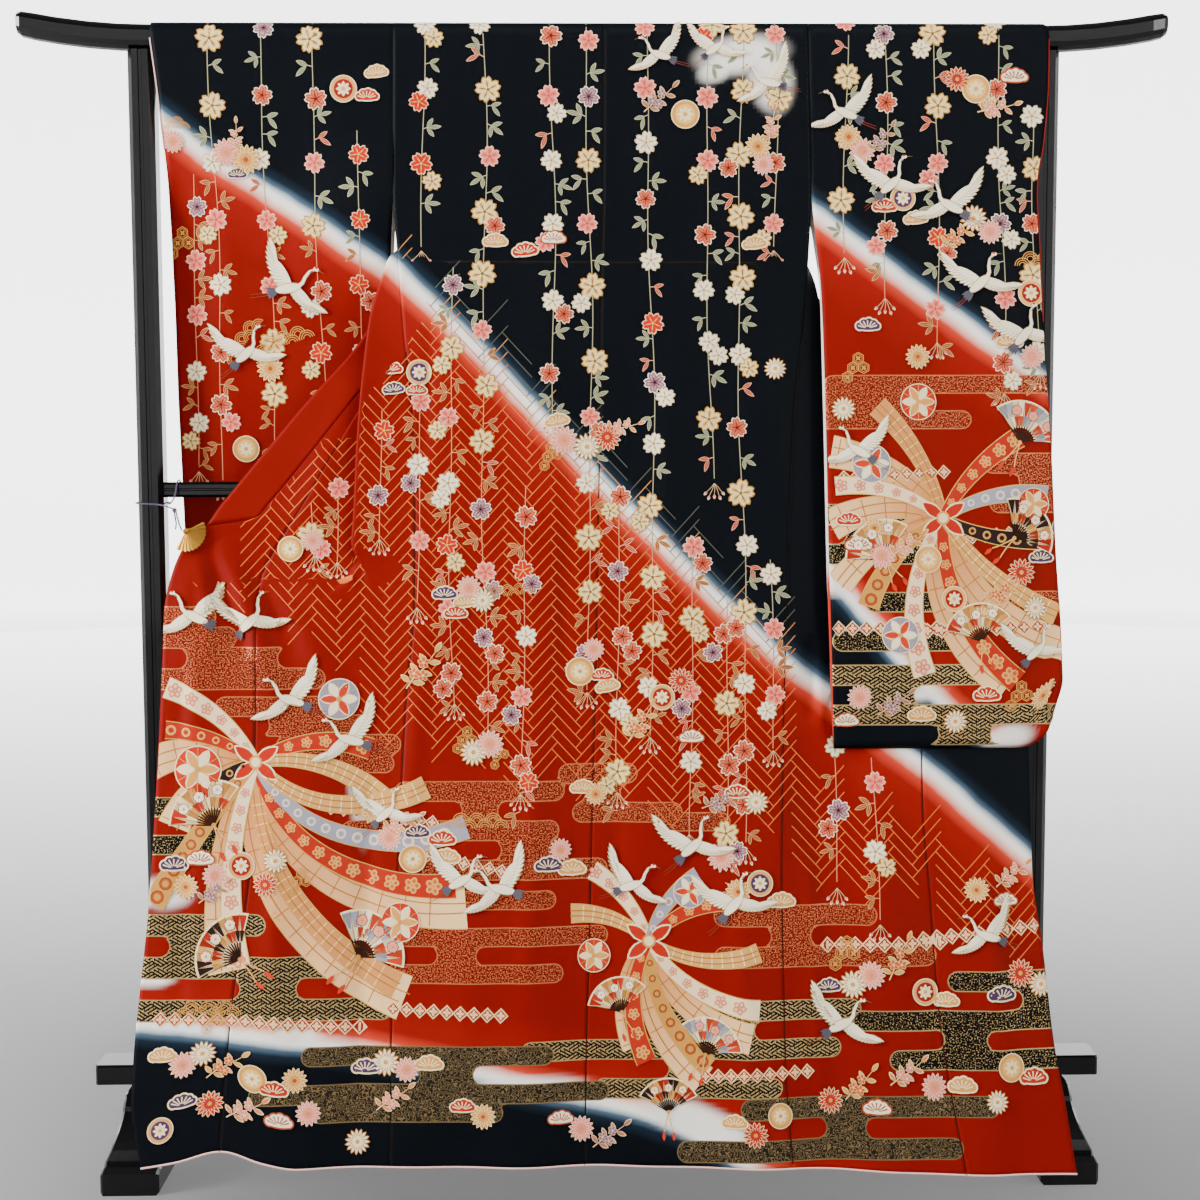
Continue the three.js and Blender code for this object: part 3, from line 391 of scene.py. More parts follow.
def front_row(half, levels):
    front, hand = half.front, half.hand

    def column(values):
        return np.asarray(values)[:, None]

    side, fold = column(half.side(levels)), column(front.fold(levels))
    turn, seam = column(front.turn(levels)), column(front.seam(levels))
    side_y, fold_y = column(front.sideY(levels)), column(front.foldY(levels))
    turn_y, seam_y = column(front.turnY(levels)), column(front.seamY(levels))
    folded, turned = column(front.folded(levels)), column(front.turned(levels))
    bulge = hand * FOLD_RADIUS * np.sin(BENDS)
    dip = FOLD_RADIUS * np.cos(BENDS)
    x = np.concatenate([
        lerp(side, fold, PLEAT), fold + bulge, lerp(fold, turn, LAYER), turn - bulge,
        lerp(turn, seam, INNER),
    ], axis=1)
    y = np.concatenate([
        lerp(side_y, fold_y, PLEAT), fold_y + FOLD_RADIUS - dip,
        lerp(fold_y + 2 * FOLD_RADIUS, turn_y - FOLD_RADIUS, LAYER), turn_y - dip,
        lerp(turn_y + FOLD_RADIUS, seam_y, INNER),
    ], axis=1)
    count = x.shape[1]
    inner_start = count - len(INNER)
    index = np.arange(count)
    to_turn = np.minimum(1, index / (inner_start - 1))
    outer = index < inner_start
    straight_x = np.where(outer, lerp(side, turn, to_turn), x)
    straight_y = np.where(outer, lerp(side_y, turn_y, to_turn), y)
    share = index / (count - 1)
    x = lerp(lerp(side, seam, share), lerp(straight_x, x, folded), turned)
    y = lerp(lerp(side_y, seam_y, share), lerp(straight_y, y, folded), turned)
    return on_near_plane(x, column(levels), y)


COURSE = len(PLEAT) + len(LAYER) + len(INNER) + 2 * len(BENDS)
print("a front has", COURSE, "columns")

# %% [markdown]
# ## The sleeves
# A furisode sleeve is a bag over a metre long, closed by a fold at the bottom and rounded at
# the outer corner. Near and far walls are the same function with two sets of columns.

# %% A point on a sleeve


def sleeve_bottom(x, sleeve):
    outer = abs(float(sleeve.outerNear(SLEEVE_BOTTOM)))
    into = np.clip(np.abs(x) - (outer - SLEEVE_CORNER), 0, SLEEVE_CORNER)
    return SLEEVE_CORNER - np.sqrt(SLEEVE_CORNER**2 - into**2 * 0.98)


def sleeve_point(sleeve, level, share, near):
    level, share = np.broadcast_arrays(np.asarray(level, float), np.asarray(share, float))
    outer = sleeve.outerNear(level) if near else sleeve.outerFar(level)
    x = lerp(sleeve.inner(level), outer, share)
    inner_y = sleeve.nearInY(level) if near else sleeve.farInY(level)
    outer_y = sleeve.nearOutY(level) if near else sleeve.farOutY(level)
    open_y = lerp(inner_y, outer_y, smooth(0, 0.6, share))
    middle = (sleeve.nearOutY(level) + sleeve.farOutY(level)) / 2
    sewn = middle + (-1 if near else 1) * SLEEVE_EDGE_GAP / 2
    closing = smooth(0.72, 1, share) * (1 - sleeve.bag(level))
    ripple = 2.2 * np.sin(x / 33 + level / 260) * smooth(1500, 1200, level)
    settle = np.maximum(0, 1 - smooth(0.7, 1, share) - smooth(760, SLEEVE_BOTTOM, level) * 0.8)
    z = level + sleeve_bottom(x, sleeve) * smooth(800, SLEEVE_BOTTOM, level)
    return np.stack([x, lerp(open_y, sewn, closing) + ripple * settle, z], axis=-1)


print("cuff corner:", np.round(sleeve_point(SLEEVE_RIGHT, 700, 1.0, True)))

# %% [markdown]
# ## The dyed ground
# The ground is a bokashi: navy black fades through white into vermilion along one diagonal, and
# again at the hem. A dyer brushes it wet. Here every point of the silk stores how far it lies
# from that line, and the material turns the distance into colour, so the fade stays smooth.

# %% Distances to the dye lines
DYE_LINES = {
    "body": [(-460, 1450), (-300, 1334), (-173, 1209), (3, 1018), (149, 870), (273, 753),
             (485, 592), (630, 461), (760, 350)],
    "sleeve_left": [(-760, 1610), (-642, 1552), (-580, 1501), (-493, 1450), (-392, 1385), (-240, 1280)],
    "sleeve_right": [(240, 1460), (330, 1406), (404, 1347), (493, 1281), (574, 1222), (663, 1163),
                     (760, 1100)],
}
HEM_LINES = {
    "body": [(-760, 250), (-661, 240), (-430, 212), (-300, 190), (-170, 165), (-60, 138), (55, 112),
             (120, 90), (169, 62), (230, 22), (420, -60)],
    "sleeve_left": [(-760, -900), (0, -900)],
    "sleeve_right": [(240, 985), (327, 892), (380, 828), (455, 735), (510, 680), (565, 636), (760, 480)],
}


def distance_above(line, x, z):
    best = np.full(x.shape, 1e9)
    for (ax, az), (bx, bz) in zip(line, line[1:]):
        run_x, run_z = bx - ax, bz - az
        t = np.clip(((x - ax) * run_x + (z - az) * run_z) / (run_x**2 + run_z**2), 0, 1)
        best = np.minimum(best, np.hypot(x - ax - t * run_x, z - az - t * run_z))
    xs, zs = zip(*line)
    return np.where(z > np.interp(x, xs, zs), best, -best)


def dusk_distance(where, x, z):
    above = distance_above(DYE_LINES[where], x, z)
    below = -distance_above(HEM_LINES[where], x, z)
    return np.maximum(above, below)


def dusk_at(where, x, z):
    return float(dusk_distance(where, np.array([float(x)]), np.array([float(z)]))[0])


# Each glow is an ellipse of undyed silk: its middle, its two radii, its slant and its strength
GLOWS = {
    "body": [
        (214, 1640, 62, 26, 0.12, 1.0), (256, 1606, 30, 46, 0.25, 1.0), (180, 1622, 30, 18, 0.5, 0.9),
        (140, 96, 84, 24, -0.35, 1.0), (-105, 151, 76, 13, 0, 1.0), (-628, 424, 36, 22, 0, 0.95),
        (-650, 303, 34, 11, 0, 0.95), (-566, 347, 26, 10, 0, 0.9), (-436, 224, 34, 10, -0.1, 0.9),
        (-352, 566, 14, 70, 0.1, 0.6),
    ],
    "sleeve_right": [(440, 706, 56, 13, 0, 1.0), (345, 870, 26, 20, -0.6, 0.9), (600, 640, 34, 18, 0.2, 0.9)],
}


def glow_amount(where, x, z):
    amount = np.zeros(x.shape)
    for mid_x, mid_z, wide, tall, slant, strength in GLOWS.get(where, ()):
        u = (x - mid_x) * math.cos(slant) + (z - mid_z) * math.sin(slant)
        v = (z - mid_z) * math.cos(slant) - (x - mid_x) * math.sin(slant)
        amount = np.maximum(amount, strength * smooth(1.35, 0.55, np.hypot(u / wide, v / tall)))
    return amount


print("at the shoulder:", round(dusk_at("body", 0, 1500)), "mm of black")

# %% [markdown]
# ## Bands of mist
# Between the pictures lie bands of stylised mist with long round-ended fingers, filled with gold
# patterns. Each row of a cloud is one band: where it starts and ends, and BAY where its ends are
# bays that cut in and not fingers that stick out. The stored value is the distance to the outline.

# %% Mist bands
BAY = True
FAR_OFF = 900
MIST = {
    "key": {
        "body": [
            (378, 15, [(-760, -484), (-622, -560, BAY), (-760, -360), (-520, -440, BAY), (-760, -302)]),
            (252, 13.5, [(33, 377), (95, 220, BAY), (-115, 347), (98, 148, BAY), (-10, 260)]),
        ],
        "sleeve_right": [
            (732, 14.5, [(250, 569), (396, 459, BAY), (250, 760), (497, 572, BAY)]),
        ],
    },
    "grain": {
        "body": [
            (290, 13.8, [(504, 760), (614, 760, BAY), (366, 760), (498, 558, BAY), (417, 760)]),
            (546, 13.5, [(-760, -520), (-575, -500, BAY), (-760, -470)]),
        ],
        "sleeve_right": [
            (966, 14.5, [(250, 467), (364, 406, BAY), (250, 542)]),
            (838, 14, [(390, 520)]),
            (782, 15, [(341, 545)]),
        ],
    },
    "vine": {
        "body": [
            (193, 13, [(-431, -69), (-260, -185, BAY), (-505, 10), (-415, -142)]),
            (115, 14.5, [(200, 575), (325, 380, BAY), (108, 520)]),
        ],
    },
    "ember": {
        "body": [
            (566, 14, [(-298, -52), (-200, -149, BAY), (-376, -60), (-143, -75, BAY), (-258, 10)]),
            (411, 13, [(-316, -65), (-330, -272, BAY), (-316, 10), (-236, -181, BAY), (-310, -55)]),
            (385, 14.5, [(165, 402), (248, 305, BAY), (165, 488)]),
            (820, 15, [(-650, -560), (-650, -530), (-600, -470, BAY), (-660, -400)]),
            (690, 14, [(-560, -380), (-480, -350, BAY), (-470, -290)]),
            (606, 13, [(-380, -300)]),
            (590, 14, [(-60, 55), (-20, 30, BAY), (-40, 120)]),
            (520, 13, [(90, 190)]),
        ],
        "sleeve_right": [
            (1156, 13, [(332, 760), (300, 463, BAY), (325, 549)]),
            (1040, 14.5, [(565, 760), (620, 760, BAY), (575, 760)]),
            (838, 14, [(565, 760)]),
            (786, 14, [(610, 760)]),
        ],
    },
}


def capsule(x, z, start, end, level, radius):
    aside = np.maximum(0, np.maximum(start + radius - x, x - (end - radius)))
    return np.hypot(aside, z - level) - radius


def slab(x, z, start, end, level, radius):
    return np.maximum(np.maximum(start - x, x - end), np.abs(z - level) - radius)


def mist_distance(kind, where, x, z):
    total = np.full(x.shape, 1e3)
    for top, radius, rows in MIST[kind].get(where, ()):
        solid, bays = np.full(x.shape, 1e3), np.full(x.shape, 1e3)
        for i, (start, end, *bay) in enumerate(rows):
            level = top - 2 * radius * i
            if bay:
                bays = np.minimum(bays, capsule(x, z, start - FAR_OFF, start, level, radius))
                bays = np.minimum(bays, capsule(x, z, end, end + FAR_OFF, level, radius))
                body = slab(x, z, start - radius, end + radius, level, radius + 0.5)
            else:
                body = capsule(x, z, start, end, level, radius)
            solid = np.minimum(solid, body)
        total = np.minimum(total, np.maximum(solid, -bays))
    return total


def dye_fields(where, x, z):
    fields = {"dusk": dusk_distance(where, x, z), "glow": glow_amount(where, x, z)}
    for kind in MIST:
        fields[kind] = np.minimum(mist_distance(kind, where, x, z), 60)
    return fields


print("mist kinds:", ", ".join(MIST))

# %% [markdown]
# ## Writing a material as a formula
# Shader nodes are arithmetic. A small class wraps one socket and lets it be added, multiplied
# and compared, so the patterns below read as formulas instead of lists of links.

# %% Formula sockets


def between_two(operation, swapped=False):
    def method(self, other):
        pair = (other, self) if swapped else (self, other)
        return self.math(operation, *pair)
    return method


def of_one(operation):
    return lambda self: self.math(operation, self)


class Wire:
    def __init__(self, graph, socket):
        self.graph, self.socket = graph, socket

    def math(self, operation, *values):
        return self.graph.node("ShaderNodeMath", {"operation": operation}, dict(enumerate(values)))

    __add__, __radd__ = between_two("ADD"), between_two("ADD", True)
    __sub__, __rsub__ = between_two("SUBTRACT"), between_two("SUBTRACT", True)
    __mul__, __rmul__ = between_two("MULTIPLY"), between_two("MULTIPLY", True)
    __truediv__ = between_two("DIVIDE")
    __lt__, __gt__ = between_two("LESS_THAN"), between_two("GREATER_THAN")
    most = between_two("MAXIMUM")
    __abs__, part, whole, wave = of_one("ABSOLUTE"), of_one("FRACT"), of_one("FLOOR"), of_one("SINE")

    def between(self, start, end):
        settings = {"interpolation_type": "SMOOTHSTEP"}
        return self.graph.node("ShaderNodeMapRange", settings, {0: self, 1: start, 2: end})

    def output(self, index):
        return Wire(self.graph, self.socket.node.outputs[index])


class Graph:
    def __init__(self, name):
        self.material = bpy.data.materials.new(name)
        self.material.use_nodes = True
        self.tree = self.material.node_tree
        self.tree.nodes.clear()

    def node(self, kind, settings=None, values=None, output=0):
        made = self.tree.nodes.new(kind)
        for key, value in (settings or {}).items():
            if key == "stops":
                ramp = made.color_ramp
                while len(ramp.elements) < len(value):
                    ramp.elements.new(0.5)
                for element, (position, colour) in zip(ramp.elements, value):
                    element.position, element.color = position, (*colour, 1)
            else:
                setattr(made, key, value)
        for key, value in (values or {}).items():
            if isinstance(value, Wire):
                self.tree.links.new(value.socket, made.inputs[key])
            else:
                made.inputs[key].default_value = value
        return Wire(self, made.outputs[output])

    def stored(self, name, output=2):
        return self.node("ShaderNodeAttribute", {"attribute_name": name}, output=output)

    def mix(self, share, first, second):
        values = {0: share, 6: first, 7: second}
        return self.node("ShaderNodeMix", {"data_type": "RGBA"}, values, output=2)

    def noise(self, where, scale, detail=2.0, roughness=0.5):
        values = {"Vector": where, "Scale": scale, "Detail": detail, "Roughness": roughness}
        return self.node("ShaderNodeTexNoise", None, values)

    def bump(self, height, distance, strength=1.0):
        values = {"Height": height, "Distance": distance, "Strength": strength}
        return self.node("ShaderNodeBump", None, values)

    def finish(self, values):
        shader = self.node("ShaderNodeBsdfPrincipled", None, values)
        made = self.tree.nodes.new("ShaderNodeOutputMaterial")
        self.tree.links.new(shader.socket, made.inputs["Surface"])
        return self.material


def rgb(red, green, blue):
    def channel(v):
        return v / 255 / 12.92 if v <= 10 else ((v / 255 + 0.055) / 1.055) ** 2.4

    return channel(red), channel(green), channel(blue)


def rgba(colour):
    return (*colour, 1.0)


print("vermilion is", [round(v, 3) for v in rgb(196, 42, 26)])

# %% [markdown]
# ## The dyed silk
# The colour follows the stored distance through the dyes, then the mist bands are laid on it,
# each with its own gold pattern: an interlocking key fret, fine grain, vine scrolls, and grain
# on red. The gold is metal, the silk isn't, and a fine crepe bump breaks up the sheen.

# %% Dyed silk
NAVY = rgb(5, 8, 13)
DUSK = rgb(20, 32, 44)
SLATE = rgb(70, 90, 106)
MISTY = rgb(182, 192, 196)
UNDYED = rgb(242, 236, 226)
BLUSH = rgb(242, 186, 168)
SALMON = rgb(196, 58, 36)
SCARLET = rgb(138, 18, 9)
VERMILION = rgb(122, 14, 7)
OLD_GOLD = rgb(176, 148, 96)
DIM_GOLD = rgb(128, 106, 70)
EMBER_GOLD = rgb(186, 104, 62)
DYE_REACH = 100
CREPE_GRAIN = 900
FRET_CELL, NOTCH_WIDE, NOTCH_TALL = 13, 6.5, 7.8
GRAIN_SIZE, VINE_SIZE = 460, 95
OUTLINE = 0.8
THREAD_PITCH = 6.0


def finish_silk(g, colour, roughness, crepe, bump, **more):
    return g.finish({
        "Base Color": colour,
        "Roughness": roughness + (crepe - 0.5) * 0.1,
        "Normal": bump,
        "Specular IOR Level": 0.05,
        **more,
    })


def dyed_silk():
    g = Graph("dyed_silk")
    cloth = g.node("ShaderNodeUVMap", {"uv_map": "cloth"})
    split = g.node("ShaderNodeSeparateXYZ", None, {0: cloth})
    across = split * 1000
    along = split.output(1) * 1000
    cloudy = g.noise(cloth, 14, 3)
    dusk = g.stored("dusk") + (cloudy - 0.5) * 9
    stops = [
        (0.0, VERMILION), (0.32, SCARLET), (0.4, SALMON), (0.448, BLUSH), (0.48, UNDYED),
        (0.508, UNDYED), (0.532, MISTY), (0.56, SLATE), (0.6, DUSK), (0.67, NAVY),
    ]
    ground = g.node("ShaderNodeValToRGB", {"stops": stops}, {0: dusk / (2 * DYE_REACH) + 0.5})
    paler = g.mix(g.stored("glow"), ground, rgba(UNDYED))
    tone = (g.noise(cloth, 5, 2) - 0.5) * 0.35 + 0.5
    ground = g.node("ShaderNodeMix", {"data_type": "RGBA", "blend_type": "SOFT_LIGHT"}, {
        0: 0.5, 6: paler, 7: g.mix(tone, (0.3, 0.3, 0.3, 1), (0.7, 0.7, 0.7, 1)),
    }, output=2)

    up = (across * 0.5 + along * 0.86) / FRET_CELL
    down = (across * 0.5 - along * 0.86) / FRET_CELL
    odd = ((up.whole() + down.whole()) / 2).part() > 0.25
    fret = odd * ((up * 3).part() > 0.55) + (1 - odd) * ((down * 3).part() > 0.55)
    notch = ((across / NOTCH_WIDE).part() > 0.78) * ((along / NOTCH_TALL).part() > 0.4)
    fret = fret * (1 - notch)
    specks = g.noise(cloth, GRAIN_SIZE, 1, roughness=0.4)
    swirl = g.noise(cloth, VINE_SIZE, 1.5)
    scroll = abs((swirl * 9).part() - 0.5) < 0.17

    def lay(under, kind, base, metal, pattern):
        edge = g.stored(kind)
        inside = edge < 0
        line = abs(edge) < OUTLINE
        thread = (inside * pattern).most(line)
        over = g.mix(inside, under, rgba(base)) if base else under
        return g.mix(thread, over, rgba(metal)), thread

    ground, key_gold = lay(ground, "key", rgb(6, 7, 9), OLD_GOLD, fret)
    ground, grain_gold = lay(ground, "grain", rgb(6, 7, 9), OLD_GOLD, specks > 0.6)
    ground, vine_gold = lay(ground, "vine", rgb(32, 28, 22), DIM_GOLD, scroll)
    ground, ember_gold = lay(ground, "ember", rgb(108, 14, 8), EMBER_GOLD, specks > 0.55)
    gold = key_gold.most(grain_gold).most(vine_gold).most(ember_gold * 0.6)
    crepe = g.noise(cloth, CREPE_GRAIN, 2)
    threads = (across * THREAD_PITCH).wave() * (along * THREAD_PITCH).wave()
    bump = g.bump(crepe * 0.7 + threads * 0.15, 0.00018, 0.6)
    return finish_silk(g, ground, 0.52 - gold * 0.12, crepe, bump, Metallic=gold * 0.75)


def plain_silk(name, colour, shade):
    g = Graph(name)
    cloth = g.node("ShaderNodeUVMap", {"uv_map": "cloth"})
    tone = g.noise(cloth, 6, 3)
    crepe = g.noise(cloth, CREPE_GRAIN, 2)
    dyed = g.mix(tone, rgba(shade), rgba(colour))
    return finish_silk(g, dyed, 0.5, crepe, g.bump(crepe, 0.00015, 0.5))


def lining_silk():
    g = Graph("lining_silk")
    cloth = g.node("ShaderNodeUVMap", {"uv_map": "cloth"})
    place = g.node("ShaderNodeTexCoord", None, None, output=3)
    height = g.node("ShaderNodeSeparateXYZ", None, {0: place}, output=2)
    upper = height.between(0.86, 0.9)
    crepe = g.noise(cloth, CREPE_GRAIN, 2)
    rosy = g.mix(height.between(0.02, 0.5), rgba(rgb(214, 96, 80)), rgba(rgb(196, 48, 32)))
    dyed = g.mix(upper, rosy, rgba(rgb(232, 228, 218)))
    return finish_silk(g, dyed, 0.5, crepe, g.bump(crepe, 0.00012, 0.5))


DYED = dyed_silk()
LINING = lining_silk()
COLLAR_RED = plain_silk("collar_silk_red", rgb(128, 15, 7), rgb(114, 12, 6))
PALE_EDGE = plain_silk("pale_edge_silk", rgb(238, 200, 190), rgb(228, 168, 158))
RED_EDGE = plain_silk("red_edge_silk", rgb(132, 22, 16), rgb(110, 14, 10))
print("dyed silk has", len(DYED.node_tree.nodes), "nodes")

# %% [markdown]
# ## A panel of silk
# A cut piece is a grid: bmesh makes the flat grid, each vertex moves to its place on the curve
# functions, and a Solidify modifier gives the 1.6 mm of silk and lining. The grid's own row and
# column also give the UV map, which the weave follows round every fold.

# %% Panel maker


def add_piece(name, mesh, material):
    mesh.shade_smooth()
    mesh.materials.append(material)
    made = bpy.data.objects.new(name, mesh)
    bpy.context.scene.collection.objects.link(made)
    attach(made, "root")
    return made


def store_cloth_uv(mesh, flat):
    corners = np.empty(len(mesh.loops), np.int32)
    mesh.loops.foreach_get("vertex_index", corners)
    uv = (flat[corners] * MM).astype(np.float32)
    mesh.uv_layers.new(name="cloth").data.foreach_set("uv", uv.ravel())


def silk_panel(name, points, where, outside=DYED, flip=False, fields=True, ring=False):
    if flip:
        points = points[:, ::-1]
    rows, columns = points.shape[:2]
    bm = bmesh.new()
    bmesh.ops.create_grid(bm, x_segments=columns - 1, y_segments=rows - 1, size=1)
    mesh = bpy.data.meshes.new(name)
    bm.to_mesh(mesh)
    bm.free()
    flat = np.empty(len(mesh.vertices) * 3, np.float32)
    mesh.vertices.foreach_get("co", flat)
    flat = flat.reshape(-1, 3)
    column = np.rint((flat[:, 0] + 1) / 2 * (columns - 1)).astype(int)
    row = np.rint((flat[:, 1] + 1) / 2 * (rows - 1)).astype(int)
    place = points[row, column]
    mesh.vertices.foreach_set("co", ((place + (0, DEPTH_SHIFT, 0)) * MM).ravel())
    steps = np.linalg.norm(np.diff(points, axis=0), axis=2).mean(axis=1)
    along = np.concatenate([[0], np.cumsum(steps)])
    store_cloth_uv(mesh, np.stack([points[row, column, 0], along[row]], axis=1))
    values = dye_fields(where, place[:, 0], place[:, 2]) if fields else {}
    for key, value in values.items():
        stored = mesh.attributes.new(key, "FLOAT", "POINT")
        stored.data.foreach_set("value", value.astype(np.float32))
    if ring:
        bm = bmesh.new()
        bm.from_mesh(mesh)
        bmesh.ops.remove_doubles(bm, verts=bm.verts, dist=1e-6)
        bm.to_mesh(mesh)
        bm.free()
    piece = add_piece(name, mesh, outside)
    mesh.materials.append(LINING if fields else outside)
    wall = piece.modifiers.new("wall", "SOLIDIFY")
    wall.thickness = SILK * MM
    wall.offset = 0
    wall.material_offset = 1
    wall.material_offset_rim = 0
    print(name, rows, "x", columns)
    return piece


BACK_STEP, HIDDEN_STEP = 6, 10
# The cut of what shows: width and length in metres, and the area where it isn't a rectangle
CUTS = {
    "body_left": ((0.305, 3.38), None), "body_right": ((0.305, 3.38), None),
    "okumi_left": ((0.155, 1.43), 0.165), "okumi_right": ((0.155, 1.43), 0.165),
    "collar": ((0.052, 1.87), None),
    "sleeve_left": ((0.36, 2.13), None), "sleeve_right": ((0.36, 2.13), None),
}


def dress(name, slot, points, where, **options):
    panel = silk_panel(f"silk_{name}", points, where, **options)
    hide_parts(name)


def levels_between(top, bottom, step):
    return np.linspace(top, bottom, int(round((top - bottom) / step)) + 1)


def front_levels(top):
    hidden, shown = levels_between(top, 1010, HIDDEN_STEP), levels_between(1004, HEM_LEVEL, BACK_STEP)
    return np.concatenate([hidden, shown])


# %% Body panels: back, over the shoulder, and front


def neck_x(half, length):
    seam = half.front.seam(RAIL_AXIS_Z)
    return lerp(BACK.centre(RAIL_AXIS_Z), seam, smooth(4, QUARTER, length))


def body_points(half):
    shares = np.linspace(0, 1, COURSE)
    levels = levels_between(RAIL_AXIS_Z, HEM_LEVEL, BACK_STEP)[::-1]
    side, centre = half.side(levels)[:, None], BACK.centre(levels)[:, None]
    back = on_near_plane(lerp(side, centre, shares), levels[:, None])
    lengths = np.linspace(-QUARTER, QUARTER, 13)
    top_side = half.side(RAIL_AXIS_Z)
    ridge = np.stack([over_rail(lerp(top_side, neck_x(half, s), shares), s) for s in lengths])
    front = front_row(half, front_levels(1625))
    return np.concatenate([back[:-1], ridge, front])


for name, half in (("body_left", LEFT), ("body_right", RIGHT)):
    dress(name, "body_silk", body_points(half), "body", flip=half is RIGHT)

# %% Okumi, sewn to the front edges


def okumi_points(half):
    levels = front_levels(OKUMI_TOP)
    shares = np.linspace(0, 1, 26)
    seam, edge = half.front.seam(levels)[:, None], half.okumi.edge(levels)[:, None]
    seam_y, edge_y = half.front.seamY(levels)[:, None], half.okumi.edgeY(levels)[:, None]
    return on_near_plane(lerp(seam, edge, shares), levels[:, None], lerp(seam_y, edge_y, shares))


for name, half in (("okumi_left", LEFT), ("okumi_right", RIGHT)):
    dress(name, "okumi_silk", okumi_points(half), "body", flip=half is RIGHT)

# %% The collar: one strip round the neck
ROLL_CLEARANCE = 1.6


def collar_row(half, level, shares):
    beside = level <= OKUMI_TOP
    seam = half.okumi.edge(level) if beside else half.front.seam(level)
    seam_y = half.okumi.edgeY(level) if beside else half.front.seamY(level)
    aside = half.hand * lerp(0.5, -ROLL_CLEARANCE, float(smooth(1500, 1630, level)))
    behind = 2 * ROLL_CLEARANCE * float(smooth(1440, 1500, level) * (1 - smooth(1590, 1650, level)))
    x = lerp(seam + aside, half.brim.edge(level), shares)
    row = on_near_plane(x, level, lerp(seam_y + behind, half.brim.edgeY(level), shares))
    row[:, 2] -= half.brim.drop(level) * shares
    return row


def neck_row(half, length, shares):
    row = over_rail(float(neck_x(half, length)), length + ROLL_CLEARANCE + COLLAR_WIDTH * shares, 1)
    row[:, 1] += shares
    return row


def collar_points():
    shares = np.linspace(0, 1, 12)
    lengths = np.linspace(0.25, 0.88, 6) * QUARTER

    def down(half):
        upper, lower = levels_between(1650, OKUMI_TOP + 6, 8), levels_between(OKUMI_TOP, half.end, 8)
        levels = np.concatenate([upper, lower])
        return np.stack([collar_row(half, level, shares) for level in levels])

    left = np.stack([neck_row(LEFT, s, shares) for s in lengths[::-1]])
    right = np.stack([neck_row(RIGHT, s, shares) for s in lengths])
    return np.concatenate([down(LEFT)[::-1], left, right, down(RIGHT)])


dress("collar", "collar_silk", collar_points(), "body", outside=COLLAR_RED, fields=False)

# %% The two sleeves


def sleeve_points(sleeve):
    shares = np.linspace(0, 1, 48)
    up = levels_between(RAIL_AXIS_Z, SLEEVE_BOTTOM + 6, 7)[::-1]
    near = sleeve_point(sleeve, up[:-1, None], shares, True)
    ridge = []
    for step in np.linspace(0, 1, 11):
        outer = lerp(sleeve.outerNear(RAIL_AXIS_Z), sleeve.outerFar(RAIL_AXIS_Z), step)
        x = lerp(sleeve.inner(RAIL_AXIS_Z), outer, shares)
        ridge.append(over_rail(x, lerp(-QUARTER, QUARTER, step)))
    far = sleeve_point(sleeve, up[::-1][1:, None], shares, False)
    bottom_near = sleeve_point(sleeve, SLEEVE_BOTTOM, shares, True)
    bottom_far = sleeve_point(sleeve, SLEEVE_BOTTOM, shares, False)
    fold = (bottom_near + bottom_far) / 2
    return np.concatenate([near, np.stack(ridge), far, fold[None], near[:1]])


for name, sleeve in (("sleeve_left", SLEEVE_LEFT), ("sleeve_right", SLEEVE_RIGHT)):
    dress(name, "sleeve_silk", sleeve_points(sleeve), name, flip=name == "sleeve_left", ring=True)

# %% [markdown]
# ## Drawing the motifs
# On a real furisode the motifs are drawn in paste resist, painted in, and edged with gold
# thread. Here each motif is a small flat drawing of stacked shapes, made once with bmesh, with
# its colours stored on its corners. Copies are then laid on the curved silk, a hair above it,
# so their edges stay crisp at any distance.

# %% Drawing kit
LAYER_STEP = 0.12
LONGEST_EDGE = 13


